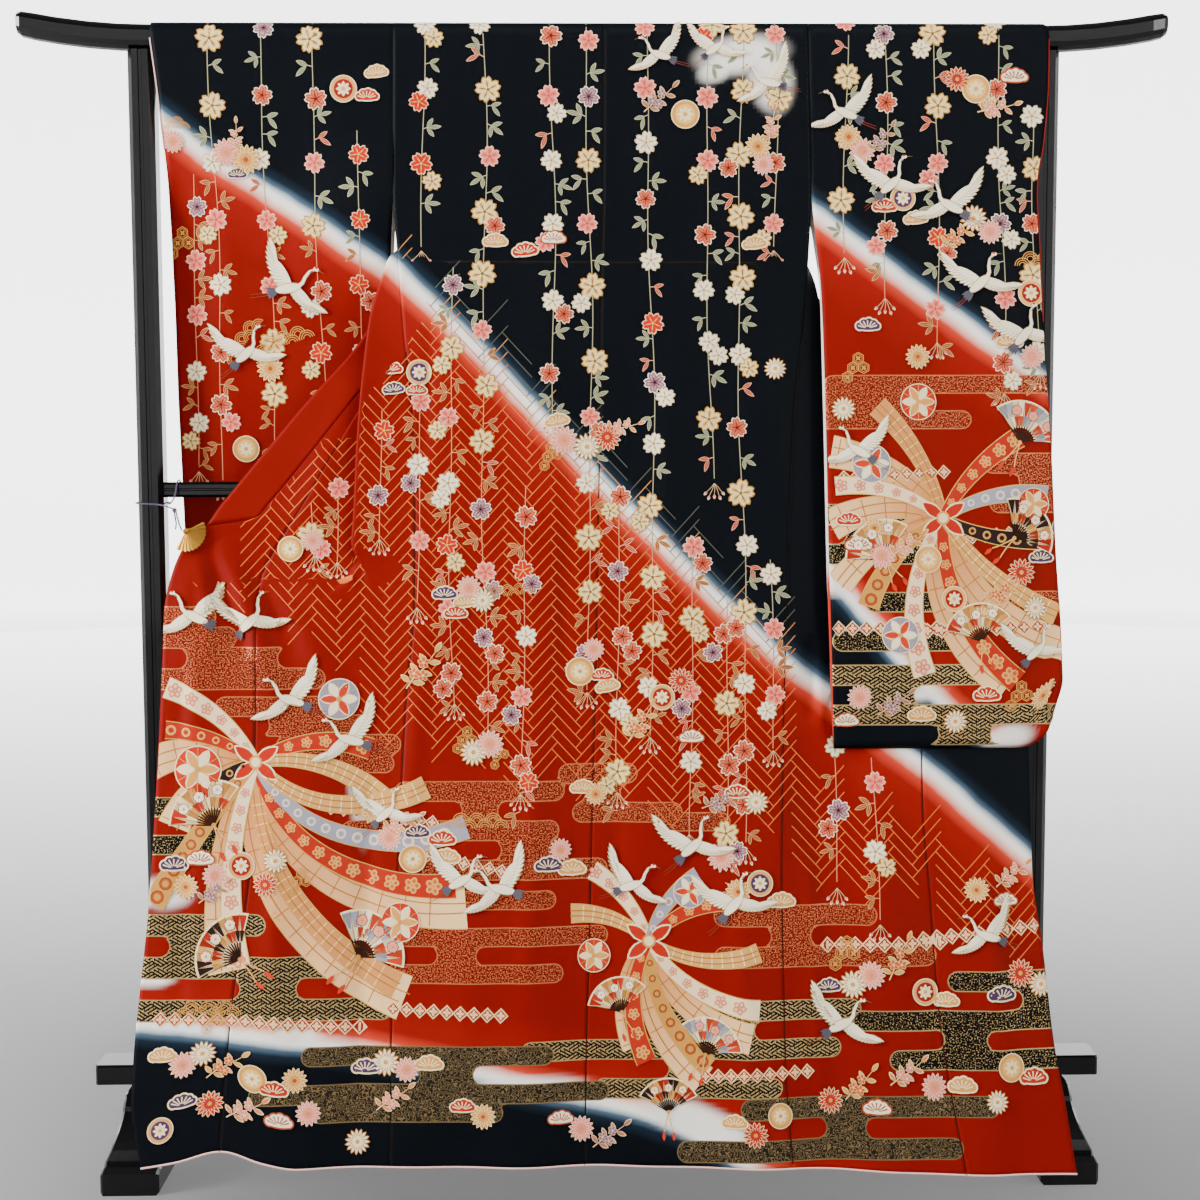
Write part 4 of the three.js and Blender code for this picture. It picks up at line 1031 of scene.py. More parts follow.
class Drawing:
    def __init__(self, step=LAYER_STEP):
        self.step = step
        self.bm = bmesh.new()
        self.ink = self.bm.verts.layers.float_color.new("ink")
        self.gold = self.bm.verts.layers.float.new("gold")

    def colour(self, verts, colour, layer, gold):
        ink = rgba(rgb(*colour))
        for vert in verts:
            vert[self.ink] = ink
            vert[self.gold] = gold
            vert.co.z = layer * self.step

    def blob(self, outline, colour, layer, heart=None, gold=0.0, corners=12, at=(0, 0), turn=0.0):
        made = bmesh.ops.create_circle(
            self.bm, cap_ends=True, cap_tris=True, segments=corners, radius=1,
        )["verts"]
        centre = min(made, key=lambda vert: math.hypot(vert.co.x, vert.co.y))
        ring = [vert for vert in made if vert != centre]
        for vert in ring:
            vert.co.x, vert.co.y = outline(math.atan2(vert.co.y, vert.co.x))
        centre.co.x = sum(vert.co.x for vert in ring) / corners
        centre.co.y = sum(vert.co.y for vert in ring) / corners
        self.colour(made, colour, layer, gold)
        if heart:
            centre[self.ink] = rgba(rgb(*heart))
        for vert in made:
            x, y = vert.co.x, vert.co.y
            vert.co.x = at[0] + x * math.cos(turn) - y * math.sin(turn)
            vert.co.y = at[1] + x * math.sin(turn) + y * math.cos(turn)

    def leaf(self, size, edge, inner, fill, layer, corners=10, at=(0, 0), turn=0.0):
        self.blob(leaf_shape(*size), edge, layer, corners=corners, at=at, turn=turn)
        self.blob(leaf_shape(*inner), fill, layer + 1, corners=corners, at=at, turn=turn)

    def line(self, points, width, colour, layer, gold=0.0, end_width=None, end_colour=None):
        count = len(points)
        made = bmesh.ops.create_grid(self.bm, x_segments=count - 1, y_segments=1, size=1)["verts"]
        self.colour(made, colour, layer, gold)
        points = np.array(points, float)
        heading = np.gradient(points, axis=0)
        heading /= np.maximum(np.linalg.norm(heading, axis=1, keepdims=True), 1e-9)
        for vert in made:
            i = round((vert.co.x + 1) / 2 * (count - 1))
            share = i / (count - 1)
            half = lerp(width, width if end_width is None else end_width, share) / 2
            if end_colour:
                vert[self.ink] = rgba([lerp(a, b, share) for a, b in zip(rgb(*colour), rgb(*end_colour))])
            side = 1 if vert.co.y > 0 else -1
            vert.co.x = points[i, 0] - side * half * heading[i, 1]
            vert.co.y = points[i, 1] + side * half * heading[i, 0]

    def done(self):
        for _ in range(3):
            long_edges = [edge for edge in self.bm.edges if edge.calc_length() > LONGEST_EDGE]
            if long_edges:
                bmesh.ops.subdivide_edges(self.bm, edges=long_edges, cuts=1, use_grid_fill=False)
            bmesh.ops.triangulate(self.bm, faces=self.bm.faces)
        self.bm.verts.index_update()
        made = SimpleNamespace(
            points=np.array([vert.co for vert in self.bm.verts]),
            ink=np.array([vert[self.ink] for vert in self.bm.verts]),
            gold=np.array([vert[self.gold] for vert in self.bm.verts]),
            faces=np.array([[vert.index for vert in face.verts] for face in self.bm.faces]),
        )
        self.bm.free()
        return made


def oval(wide, tall, mid_x=0.0, mid_y=0.0):
    return lambda a: (mid_x + wide * math.cos(a), mid_y + tall * math.sin(a))


def leaf_shape(length, width):
    def outline(a):
        t = (1 + math.cos(a)) / 2
        spread = width / 2 * math.sin(math.pi * t) ** 0.8 if 0 < t < 1 else 0
        return length * t, math.copysign(spread, math.sin(a))
    return outline


def petal_shape(length, width, notch=0.16, start=0.08):
    def outline(a):
        t = (1 + math.cos(a)) / 2
        reach = lerp(start, 1, t) * length
        spread = width / 2 * math.sin(math.pi * (0.1 + 0.74 * t)) ** 0.8
        if abs(a) < 0.3:
            reach -= notch * length
        return reach, spread * math.copysign(min(1, abs(math.sin(a)) * 1.5), math.sin(a))
    return outline


print("a petal reaches", petal_shape(10, 8)(1.0))

# %% [markdown]
# ## Cherry blossoms, leaves and buds
# Five notched petals, each a resist-white outline under a painted petal, with threads of
# gold for the stamens. Six colourings give the rhythm down the weeping strands.

# %% Blossoms
BLOSSOM_COLOURS = {
    "cream": ((246, 230, 186), (226, 190, 118), (188, 150, 84), (150, 112, 54)),
    "white": ((252, 249, 240), (244, 232, 196), (214, 200, 168), (196, 160, 84)),
    "pink": ((242, 158, 148), (228, 104, 98), (250, 196, 186), (214, 84, 80)),
    "wine": ((188, 72, 56), (236, 156, 124), (248, 228, 208), (112, 28, 28)),
    "plum": ((120, 74, 104), (230, 196, 204), (246, 238, 230), (64, 28, 56)),
    "scarlet": ((216, 54, 38), (180, 30, 24), (246, 206, 176), (240, 200, 120)),
}


def blossom(petal, heart, edge, thread, petals=5, size=17.0):
    drawing = Drawing()
    for i in range(petals):
        turn = math.pi / 2 + 2 * math.pi * i / petals
        width = size * 3.9 / petals
        drawing.blob(petal_shape(size * 1.05, width * 1.04, 0.2), edge, 0, turn=turn)
        drawing.blob(petal_shape(size * 0.94, width * 0.84, 0.2), petal, 1, heart, turn=turn)
        for bend, reach in ((-0.2, 0.52), (0, 0.62), (0.2, 0.52)):
            tip = [(math.cos(turn + bend * r) * size * r, math.sin(turn + bend * r) * size * r)
                   for r in (0.1, reach)]
            drawing.line(tip, size * 0.034, thread, 2, 0.6)
        dot = (math.cos(turn) * size * 0.62, math.sin(turn) * size * 0.62)
        drawing.blob(oval(size * 0.05, size * 0.05), thread, 2.5, gold=0.7, corners=5, at=dot)
    drawing.blob(oval(size * 0.11, size * 0.11), thread, 3, gold=0.6, corners=7)
    return drawing.done()


BLOSSOMS = {name: blossom(*colours) for name, colours in BLOSSOM_COLOURS.items()}


def sprig(fill, edge, count):
    drawing = Drawing()
    angles = {2: (0.42, -0.75), 3: (0.95, 0.05, -0.95)}[count]
    drawing.line([(0, 0), (5, 1.5), (10, 1.5)], 1.0, edge, 0)
    for i, turn in enumerate(angles):
        length = 20 - 3 * abs(i - 1)
        root = (6 + 2 * (i % 2), 1.5)
        drawing.leaf((length, 6.6), edge, (length * 0.92, 4.8), fill, 0, 12, root, turn)
        tip = (root[0] + math.cos(turn) * length * 0.85, root[1] + math.sin(turn) * length * 0.85)
        drawing.line([root, tip], 0.7, edge, 2, end_width=0.3)
    return drawing.done()


SPRIGS = {
    "dark": [sprig((132, 142, 118), (196, 200, 176), n) for n in (2, 3)],
    "red": [sprig((150, 96, 62), (232, 176, 128), n) for n in (2, 3)],
    "blush": [sprig((186, 70, 58), (236, 186, 160), 2)],
}


def bud_cluster():
    drawing = Drawing()
    for i, turn in enumerate((-2.3, -1.95, -1.57, -1.2, -0.85)):
        length = 20 + 4 * (i % 2)
        tip = (math.cos(turn) * length, math.sin(turn) * length)
        drawing.line([(0, 0), (tip[0] * 0.5 + 1, tip[1] * 0.5), tip], 0.9, (226, 196, 160), 0)
        drawing.leaf((9, 5.4), (250, 226, 210), (6, 3.4), (232, 128, 116), 1, 8, tip, turn)
    return drawing.done()


BUDS = bud_cluster()
print(len(BLOSSOMS), "blossoms of", len(BLOSSOMS["cream"].faces), "faces each")

# %% [markdown]
# ## Other garden motifs
# Chrysanthemum, pine, tortoiseshell, waves, sprays of leaves, round mirrors with a flower,
# diamonds in a row: ordinary motifs of dyed silk, each one drawing in two or three colourings.

# %% Garden motifs


def chrysanthemum(petal, edge, heart, size=20.0, petals=15):
    drawing = Drawing()
    for ring, (reach, shift) in enumerate(((1.0, 0.0), (0.66, 0.5))):
        for i in range(petals):
            turn = 2 * math.pi * (i + shift) / petals
            full = size * reach
            outer, inner = (full * 1.05, full * 0.42), (full * 0.97, full * 0.27)
            drawing.leaf(outer, edge, inner, petal, ring * 2, 8, turn=turn)
    drawing.blob(oval(size * 0.17, size * 0.17), heart, 5, gold=0.5, corners=8)
    return drawing.done()


def pine(fill, edge, size=20.0):
    drawing = Drawing()
    lobes = (
        (-0.62, 0.06, 0.36), (-0.28, 0.3, 0.36), (0.12, 0.38, 0.36), (0.48, 0.24, 0.36), (0.76, 0.04, 0.3),
    )
    for grow, colour, lift in ((0.07, edge, 0), (-0.05, fill, 1)):
        for x, y, reach in lobes:
            size_now = size * (reach + grow)
            drawing.blob(oval(size_now, size_now), colour, lift, corners=14, at=(x * size, y * size))
        drawing.blob(oval(size * (0.86 + grow), size * (0.2 + grow)), colour, lift, corners=18,
                     at=(0.06 * size, -0.12 * size))
    for turn in np.linspace(0.2, math.pi - 0.2, 7):
        root = (math.cos(turn) * size * 0.2, -size * 0.12 + math.sin(turn) * size * 0.12)
        tip = (math.cos(turn) * size * 0.78, math.sin(turn) * size * 0.5)
        drawing.line([root, tip], 0.9, edge, 2, 0.3, end_width=2.2)
    return drawing.done()


def tortoiseshell(edge, cells=((0, 0), (1, 0), (0.5, 0.87), (-0.5, -0.87)), size=9.5):
    drawing = Drawing()
    for cell_x, cell_y in cells:
        mid = (cell_x * size * 1.86, cell_y * size * 1.86)
        for reach, width in ((1.0, 1.1), (0.72, 0.8)):
            ring = [(mid[0] + size * reach * math.sin(a), mid[1] + size * reach * math.cos(a))
                    for a in np.linspace(0, 2 * math.pi, 7)]
            for start, end in zip(ring, ring[1:]):
                drawing.line([start, end], width, edge, 0, 0.4)
        for i in range(4):
            turn = math.pi / 4 + i * math.pi / 2
            cell = leaf_shape(size * 0.5, size * 0.34)
            drawing.blob(cell, edge, 0, gold=0.3, corners=6, at=mid, turn=turn)
    return drawing.done()


def sea_waves(edge, columns=4, rows=2, size=13.0):
    drawing = Drawing()
    for row in range(rows):
        for column in range(columns - row):
            mid = ((column + row / 2) * size * 2, row * size * 0.8)
            for reach in (1.0, 0.72, 0.44):
                arc = [(mid[0] + size * reach * math.cos(a), mid[1] + size * reach * math.sin(a))
                       for a in np.linspace(0, math.pi, 9)]
                drawing.line(arc, 1.2, edge, row, 0.4)
    return drawing.done()


def spray(leaf, edge, flower):
    drawing = Drawing()
    drawing.line([(-26, -18), (-10, -6), (6, 2), (24, 16)], 1.8, edge, 0, 0.5, end_width=0.8)
    for x, y, turn in ((-18, -12, 2.2), (-16, -12, -0.4), (-4, -3, 2.0), (-2, -2, -0.6), (10, 5, 1.9),
                       (12, 6, -0.3), (24, 16, 0.7)):
        drawing.leaf((17, 8), edge, (15, 5.6), leaf, 1, 10, (x, y), turn)
    for x, y in ((-10, -2), (6, 8), (0, -8)):
        for i in range(5):
            turn = 2 * math.pi * i / 5
            drawing.blob(oval(3.6, 3.0, 4.4), edge, 3, corners=8, at=(x, y), turn=turn)
            drawing.blob(oval(2.8, 2.3, 4.4), flower, 4, corners=8, at=(x, y), turn=turn)
        drawing.blob(oval(2.0, 2.0), edge, 5, gold=0.6, corners=7, at=(x, y))
    return drawing.done()


def mirror_disc(rim, field, flower, size=21.0):
    drawing = Drawing()
    drawing.blob(oval(size, size), flower, 0, corners=26)
    drawing.blob(oval(size * 0.93, size * 0.93), rim, 1, gold=0.7, corners=26)
    drawing.blob(oval(size * 0.7, size * 0.7), field, 2, corners=22)
    for i in range(8):
        turn = i * math.pi / 4
        drawing.blob(leaf_shape(size * 0.56, size * 0.3), flower, 3, corners=8, turn=turn)
    drawing.blob(oval(size * 0.15, size * 0.15), rim, 4, gold=0.7, corners=8)
    return drawing.done()


def diamond_row(edge, fill, count=9, size=7.5):
    drawing = Drawing()
    for i in range(count):
        at = (i * size * 2.1, 0)
        drawing.blob(oval(size * 1.2, size * 1.2), edge, 0, corners=4, at=at)
        drawing.blob(oval(size * 0.92, size * 0.92), fill, 1, corners=4, at=at)
        for k in range(4):
            drawing.blob(leaf_shape(size * 0.7, size * 0.5), edge, 2, corners=6, at=at,
                         turn=k * math.pi / 2)
    return drawing.done()


CREAM, WINE, INDIGO = (248, 234, 200), (158, 40, 40), (84, 62, 110)
AMBER, RUST, LILAC = (222, 170, 100), (196, 96, 50), (150, 118, 150)
GARDEN = {
    "mum_pink": chrysanthemum((240, 156, 146), (250, 214, 200), AMBER),
    "mum_cream": chrysanthemum((250, 240, 212), (178, 130, 74), AMBER),
    "mum_amber": chrysanthemum(AMBER, (250, 226, 180), RUST),
    "mum_wine": chrysanthemum((186, 58, 50), (246, 208, 170), AMBER),
    "pine_amber": pine(AMBER, CREAM),
    "pine_wine": pine((190, 52, 38), CREAM),
    "pine_indigo": pine(INDIGO, CREAM),
    "pine_white": pine((250, 244, 226), (176, 88, 60)),
    "shell": tortoiseshell(AMBER),
    "waves": sea_waves(AMBER),
    "spray_amber": spray(AMBER, (240, 214, 160), (214, 110, 70)),
    "spray_lilac": spray((176, 128, 110), (234, 206, 176), LILAC),
    "spray_blush": spray((224, 150, 96), (248, 224, 190), (236, 150, 140)),
    "disc_gold": mirror_disc(AMBER, (236, 196, 120), CREAM),
    "disc_wine": mirror_disc((228, 178, 120), WINE, CREAM),
    "disc_indigo": mirror_disc((226, 180, 120), INDIGO, CREAM),
    "diamonds": diamond_row((244, 214, 176), WINE),
}
print(len(GARDEN), "garden motifs")

# %% [markdown]
# ## Cranes
# A flying crane: two fans of long white feathers, a slim body, a stretched neck, a grey tail
# and trailing legs. Every feather is one leaf-shaped blob with a fine edge.

# %% Crane


def crane():
    drawing = Drawing(step=1)
    white, edge, ash = (250, 246, 232), (188, 166, 128), (96, 100, 118)
    wings = (((3, 3), (27, 25), -0.7, 0.95, 13, 31), ((-3, 3), (-25, -9), -1.7, -2.95, 13, 29))
    layer = 0.0
    for shoulder, wrist, first, last, short, full in wings:
        for t in np.linspace(0, 1, 12):
            root = (lerp(shoulder[0], wrist[0], t), lerp(shoulder[1], wrist[1], t))
            turn, length = lerp(first, last, t), lerp(short, full, t ** 0.8)
            drawing.blob(leaf_shape(length, 7.4), edge, layer, corners=10, at=root, turn=turn)
            drawing.blob(leaf_shape(length * 0.95, 5.8), white, layer + 0.03, corners=10, at=root, turn=turn)
            layer += 0.05
        arm = math.atan2(wrist[1] - shoulder[1], wrist[0] - shoulder[0])
        drawing.blob(oval(18, 4.6, 14), white, layer, corners=16, at=shoulder, turn=arm)
        layer += 0.04
    drawing.blob(oval(17, 6.4), edge, layer, corners=16, at=(3, -2), turn=-0.5)
    drawing.blob(oval(16, 5.4), white, layer + 0.06, corners=16, at=(3, -2), turn=-0.5)
    neck = [(-7, 3), (-12, 10), (-13, 18), (-16, 26), (-22, 31)]
    drawing.line(neck, 5.6, edge, layer, end_width=3.2)
    drawing.line(neck, 4.4, white, layer + 0.1, end_width=2.2)
    drawing.blob(oval(3.6, 2.4), white, layer + 0.15, corners=9, at=(-23, 31.5), turn=0.3)
    drawing.blob(oval(2.0, 1.3), (200, 40, 30), layer + 0.25, corners=7, at=(-22.6, 33), turn=0.3)
    drawing.line([(-25, 31.5), (-34, 29.5)], 1.5, (120, 110, 80), layer, end_width=0.4)
    drawing.line([(-17, 25), (-20, 29)], 1.6, ash, layer + 0.2, end_width=1.0)
    for turn in (-0.95, -0.68, -0.4, -0.15):
        drawing.blob(leaf_shape(16, 5), ash, layer + 0.02, corners=9, at=(13, -9), turn=turn)
    for shift in (0, 2.8):
        drawing.line([(18, -13 - shift), (44, -25 - shift * 1.5)], 1.0, (140, 70, 60), layer, end_width=0.6)
    return drawing.done()


CRANE = crane()
print("a crane has", len(CRANE.faces), "faces")

# %% [markdown]
# ## Fans, thread balls and streamers
# The large pictures of this part are its own: open folding fans, balls wound with coloured
# thread, and bundles of long streamers. They take the scale and the warm cream, gold and red of
# the silk's largest pictures.

# %% Fans and thread balls


def folding_fan(leaves, rib, flower, size=58.0, spread=2.1, folds=12):
    drawing = Drawing()
    start = math.pi / 2 + spread / 2
    step = spread / folds

    def sector(inner, outer, first, last):
        def outline(a):
            t = (a / math.pi) % 2
            angle = lerp(first, last, min(1, t) if t <= 1 else 2 - t)
            reach = outer if t <= 1 else inner
            return reach * math.cos(angle), reach * math.sin(angle)
        return outline

    whole = sector(size * 0.36, size * 1.03, start + 0.03, start - spread - 0.03)
    drawing.blob(whole, CREAM, 0, corners=40)
    for i in range(folds):
        first, last = start - i * step, start - (i + 1) * step
        for inner, outer, pick in ((0.4, 0.64, 1), (0.64, 0.98, 0)):
            colour = leaves[(i // 2 + pick) % len(leaves)]
            tint = tuple(int(v * (1.0 if i % 2 else 0.88)) for v in colour)
            drawing.blob(sector(size * inner, size * outer, first - 0.004, last + 0.004), tint,
                         1, gold=0.15, corners=8)
        near, middle, far = (
            (math.cos(first) * size * reach, math.sin(first) * size * reach) for reach in (0.06, 0.4, 1)
        )
        drawing.line([near, middle], 2.0, rib, 1, 0.3)
        drawing.line([middle, far], 0.8, (150, 108, 56), 2, 0.6)
    for share, reach in ((0.22, 0.78), (0.5, 0.72), (0.78, 0.8)):
        angle = start - spread * share
        at = (math.cos(angle) * size * reach, math.sin(angle) * size * reach)
        for i in range(5):
            turn = 2 * math.pi * i / 5 + angle
            drawing.blob(petal_shape(8.6, 8.4), (150, 60, 50), 3, at=at, turn=turn, corners=9)
            drawing.blob(petal_shape(7.6, 6.8), flower, 4, at=at, turn=turn, corners=9)
        drawing.blob(oval(1.8, 1.8), AMBER, 5, gold=0.7, corners=6, at=at)
    drawing.blob(oval(3, 3), AMBER, 3, gold=0.8, corners=8)
    for bend in (-1, 1):
        cord = [(bend * t * 9, -t * 34 - 4 * math.sin(t * 3.1)) for t in np.linspace(0, 1, 7)]
        drawing.line(cord, 1.6, (236, 190, 130), 1, 0.4)
        drawing.blob(leaf_shape(15, 6.4), (206, 70, 46), 2, corners=8, at=cord[-1], turn=-1.57)
    return drawing.done()


def thread_ball(base, first, second, size=30.0):
    drawing = Drawing()
    drawing.blob(oval(size, size), CREAM, 0, corners=28)
    drawing.blob(oval(size * 0.95, size * 0.95), base, 1, corners=28)
    for i in range(6):
        turn = i * math.pi / 3
        colour = first if i % 2 else second
        drawing.leaf((size * 0.93, size * 0.5), CREAM, (size * 0.88, size * 0.36), colour, 2, turn=turn)
        tip = (math.cos(turn + 0.52) * size * 0.92, math.sin(turn + 0.52) * size * 0.92)
        drawing.line([(0, 0), tip], 0.9, AMBER, 4, 0.7)
    drawing.blob(oval(size * 0.14, size * 0.14), AMBER, 5, gold=0.7, corners=8)
    return drawing.done()


FAN_RED = ((196, 54, 38), (244, 224, 184), (214, 158, 88))
FAN_BLUE = ((160, 170, 192), (246, 236, 212), (206, 74, 52))
FAN_DARK = ((46, 34, 44), (222, 172, 96), (176, 48, 36))
PICTURES = {
    "fan_red": folding_fan(FAN_RED, (60, 34, 26), (252, 246, 232)),
    "fan_blue": folding_fan(FAN_BLUE, (60, 34, 26), (240, 170, 156)),
    "fan_dark": folding_fan(FAN_DARK, (40, 26, 22), (250, 236, 214)),
    "ball_red": thread_ball((200, 58, 40), (246, 232, 200), AMBER),
    "ball_blue": thread_ball((150, 156, 184), (204, 70, 52), (248, 240, 220)),
}
print({name: len(made.faces) for name, made in PICTURES.items()})

# %% [markdown]
# ## Laying motifs on the silk
# A canvas is one visible face of the garment: a function from a flat place to the curved
# surface, and its edges. A motif that meets an edge is cut off there, as a seam would cut it.

# %% Canvases
PRINT_LIFT = 0.42
# A face that an edge has squeezed so that twice its area (mm2) is below this would stand up as a wall
FLAT_AREA_KEPT = 0.02
# A face wider than this (mm) was torn across the step in an outline, so it goes
TORN_REACH = 24
# Above this level (mm) the left front shows folded, with its okumi as a wing of its own
FOLD_OPENS = 872
RIGHT_FOLD_OPENS = 690
# The print stops this far (mm) from a seam or a fold, and from a cuff
SEAM_MARGIN, CUFF_MARGIN = 1.2, 1.6


def shown_depth(half, x, level):
    front = half.front
    side, fold, turn, seam = half.side(level), front.fold(level), front.turn(level), front.seam(level)
    side_y, fold_y, turn_y = front.sideY(level), front.foldY(level), front.turnY(level)
    seam_y, folded, turned = front.seamY(level), front.folded(level), front.turned(level)
    plain = lerp(side_y, seam_y, (x - side) / (seam - side))
    outward = lerp(side_y, fold_y, (x - side) / (fold - side))
    pleat = lerp(lerp(side_y, turn_y, (x - side) / (turn - side)), outward, folded)
    inner = lerp(turn_y + FOLD_RADIUS, seam_y, (x - turn) / np.where(seam == turn, 1, seam - turn))
    front_y = lerp(plain, np.where(half.hand * (x - fold) > 0, inner, pleat), turned)
    edge = half.okumi.edge(level)
    okumi_y = lerp(seam_y, half.okumi.edgeY(level), np.clip((x - seam) / (edge - seam), 0, 1))
    beyond_side, beyond_seam = half.hand * (x - side) > 0, half.hand * (x - seam) > 0
    return np.where(beyond_seam, okumi_y, np.where(beyond_side, front_y, 0.0))


def near_face(x, level):
    hanging = np.minimum(level, RAIL_AXIS_Z)
    left, right = shown_depth(LEFT, x, hanging), shown_depth(RIGHT, x, hanging)
    depth = np.where(level > ARMPIT, 0.0, np.where(x < BACK.centre(hanging), left, right))
    on_rail = over_rail(x, -QUARTER + np.maximum(0, level - RAIL_AXIS_Z))
    return np.where((level > RAIL_AXIS_Z)[:, None], on_rail, on_near_plane(x, hanging, depth))


def near_edges(level):
    left = np.where(level > ARMPIT, BACK.sideLeft(level), np.where(
        level > FOLD_OPENS, FRONT_LEFT.fold(level), OKUMI_LEFT.edge(level)))
    right = np.where(level > ARMPIT, BACK.sideRight(level), np.where(
        level > RIGHT_FOLD_OPENS, FRONT_RIGHT.fold(level), OKUMI_RIGHT.edge(level)))
    return left + SEAM_MARGIN, right - SEAM_MARGIN


def wing_edges(half):
    def edges(level):
        outer = half.okumi.edge(level) - half.hand * SEAM_MARGIN
        inner = half.front.fold(level) + half.hand * SEAM_MARGIN
        return np.minimum(outer, inner), np.maximum(outer, inner)
    return edges


def sleeve_face(sleeve, near):
    def face(x, level):
        hanging = np.minimum(level, RAIL_AXIS_Z)
        inner = sleeve.inner(hanging)
        outer = sleeve.outerNear(hanging) if near else sleeve.outerFar(hanging)
        point = sleeve_point(sleeve, hanging, np.clip((x - inner) / (outer - inner), 0, 1), near)
        on_rail = over_rail(x, (-QUARTER + np.maximum(0, level - RAIL_AXIS_Z)) * (1 if near else -1))
        return np.where((level > RAIL_AXIS_Z)[:, None], on_rail, point)
    return face


def sleeve_edges(sleeve, near):
    def edges(level):
        hanging = np.clip(level, SLEEVE_BOTTOM, RAIL_AXIS_Z)
        inner = sleeve.inner(hanging)
        outer = sleeve.outerNear(hanging) if near else sleeve.outerFar(hanging)
        outer = outer - np.sign(outer) * CUFF_MARGIN
        inner = inner + np.sign(outer) * SEAM_MARGIN
        return np.minimum(inner, outer), np.maximum(inner, outer)
    return edges


class Canvas:
    def __init__(self, name, where, face, edges, levels, near=True):
        self.name, self.where, self.face, self.edges, self.levels = name, where, face, edges, levels
        self.near = near
        self.points, self.ink, self.gold, self.faces, self.count = [], [], [], [], 0

    def lay(self, motif, x, level, size=1.0, turn=0.0, mirror=False, lift=0.0):
        local = motif.points * (size, size, 1)
        if mirror:
            local = local * (-1, 1, 1)
        c, s = math.cos(turn), math.sin(turn)
        flat = np.stack([
            x + local[:, 0] * c - local[:, 1] * s, level + local[:, 0] * s + local[:, 1] * c,
            local[:, 2] + lift,
        ], axis=1)
        self.points.append(flat)
        self.ink.append(motif.ink)
        self.gold.append(motif.gold)
        backwards = mirror == self.near
        self.faces.append((motif.faces[:, ::-1] if backwards else motif.faces) + self.count)
        self.count += len(flat)

    def dark_at(self, x, level):
        return dusk_at(self.where, x, level) > 0

    def piece(self, material):
        flat = np.concatenate(self.points)
        level = np.clip(flat[:, 1], *self.levels)
        left, right = self.edges(level)
        x = np.clip(flat[:, 0], left, right)
        place = self.face(x, level)
        across = self.face(x + 1, level) - self.face(x - 1, level)
        up = self.face(x, level + 1) - self.face(x, level - 1)
        normal = np.cross(across, up)
        normal /= np.linalg.norm(normal, axis=1, keepdims=True)
        if not self.near:
            normal = -normal
        place = place + normal * (SILK / 2 + PRINT_LIFT + flat[:, 2])[:, None] + (0, DEPTH_SHIFT, 0)
        faces = np.concatenate(self.faces)
        a, b, c = (np.stack([x, level], axis=1)[faces[:, i]] for i in range(3))
        area = np.abs((b[:, 0] - a[:, 0]) * (c[:, 1] - a[:, 1]) - (b[:, 1] - a[:, 1]) * (c[:, 0] - a[:, 0]))
        reach = np.ptp(x[faces], axis=1)
        faces = faces[(area > FLAT_AREA_KEPT) & (reach < TORN_REACH)]
        used, faces = np.unique(faces, return_inverse=True)
        faces = faces.reshape(-1, 3)
        mesh = bpy.data.meshes.new(self.name)
        mesh.from_pydata((place[used] * MM).tolist(), [], faces.tolist())
        ink = mesh.attributes.new("ink", "FLOAT_COLOR", "POINT")
        ink.data.foreach_set("color", np.concatenate(self.ink)[used].astype(np.float32).ravel())
        gold = mesh.attributes.new("gold", "FLOAT", "POINT")
        gold.data.foreach_set("value", np.concatenate(self.gold)[used].astype(np.float32))
        store_cloth_uv(mesh, np.stack([x, level], axis=1)[used])
        print(self.name, len(mesh.polygons), "faces")
        return add_piece(self.name, mesh, material)


TOP = RAIL_AXIS_Z + QUARTER - 1
SLEEVE_LEVELS = (SLEEVE_BOTTOM + 4, TOP)
CANVAS = {
    "body": Canvas("print_body", "body", near_face, near_edges, (HEM_LEVEL + 3, TOP)),
    "wing": Canvas("print_wing_left", "body", near_face, wing_edges(LEFT), (874, 1080)),
}
for end, near in (("", True), ("_far", False)):
    for side, sleeve in (("left", SLEEVE_LEFT), ("right", SLEEVE_RIGHT)):
        face, edges = sleeve_face(sleeve, near), sleeve_edges(sleeve, near)
        made = Canvas(f"print_sleeve_{side}{end}", f"sleeve_{side}", face, edges, SLEEVE_LEVELS, near)
        CANVAS[side + end] = made
print(len(CANVAS), "canvases")

# %% [markdown]
# ## Woven fence lines
# On the vermilion, fine lines make the woven-fence pattern: columns of slanting strokes whose
# ends meet the strokes of the next column. They start in the fade and stop above the mist.

# %% Woven fence
FENCE_COLUMN, FENCE_STEP, FENCE_ROWS = 35.0, 19.0, 90
FENCE_LINE, FENCE_GOLD = 1.3, 0.25
FENCE_SLOPE = 2 * FENCE_STEP / FENCE_COLUMN
# Each stroke runs on until it meets the middle of a stroke in the next column
FENCE_OVERSHOOT = FENCE_STEP / (2 * FENCE_SLOPE)


def stroke(slant, colour):
    drawing = Drawing()
    reach = FENCE_COLUMN + FENCE_OVERSHOOT
    rise = FENCE_SLOPE * slant
    course = [(reach * t, reach * t * rise) for t in np.linspace(0, 1, 7)]
    drawing.line(course, FENCE_LINE, colour, 0, FENCE_GOLD)
    return drawing.done()


FENCE_END = [
    (-660, 890), (-560, 890), (-525, 855), (-465, 808), (-380, 762), (-350, 700), (-300, 650),
    (-200, 620), (-55, 575), (74, 544), (150, 519), (250, 519), (281, 479), (368, 413), (455, 425),
    (490, 404), (530, 360), (580, 335), (640, 325), (760, 320),
]
FENCE_TOP = [(277, 1350), (278, 640), (368, 548), (474, 514), (640, 400)]
FENCE_STROKES = {
    (tone, slant): stroke(slant, colour)
    for tone, colour in (("red", (224, 128, 72)), ("pale", (196, 150, 104)), ("dark", (96, 104, 100)))
    for slant in (-1, 1)
}


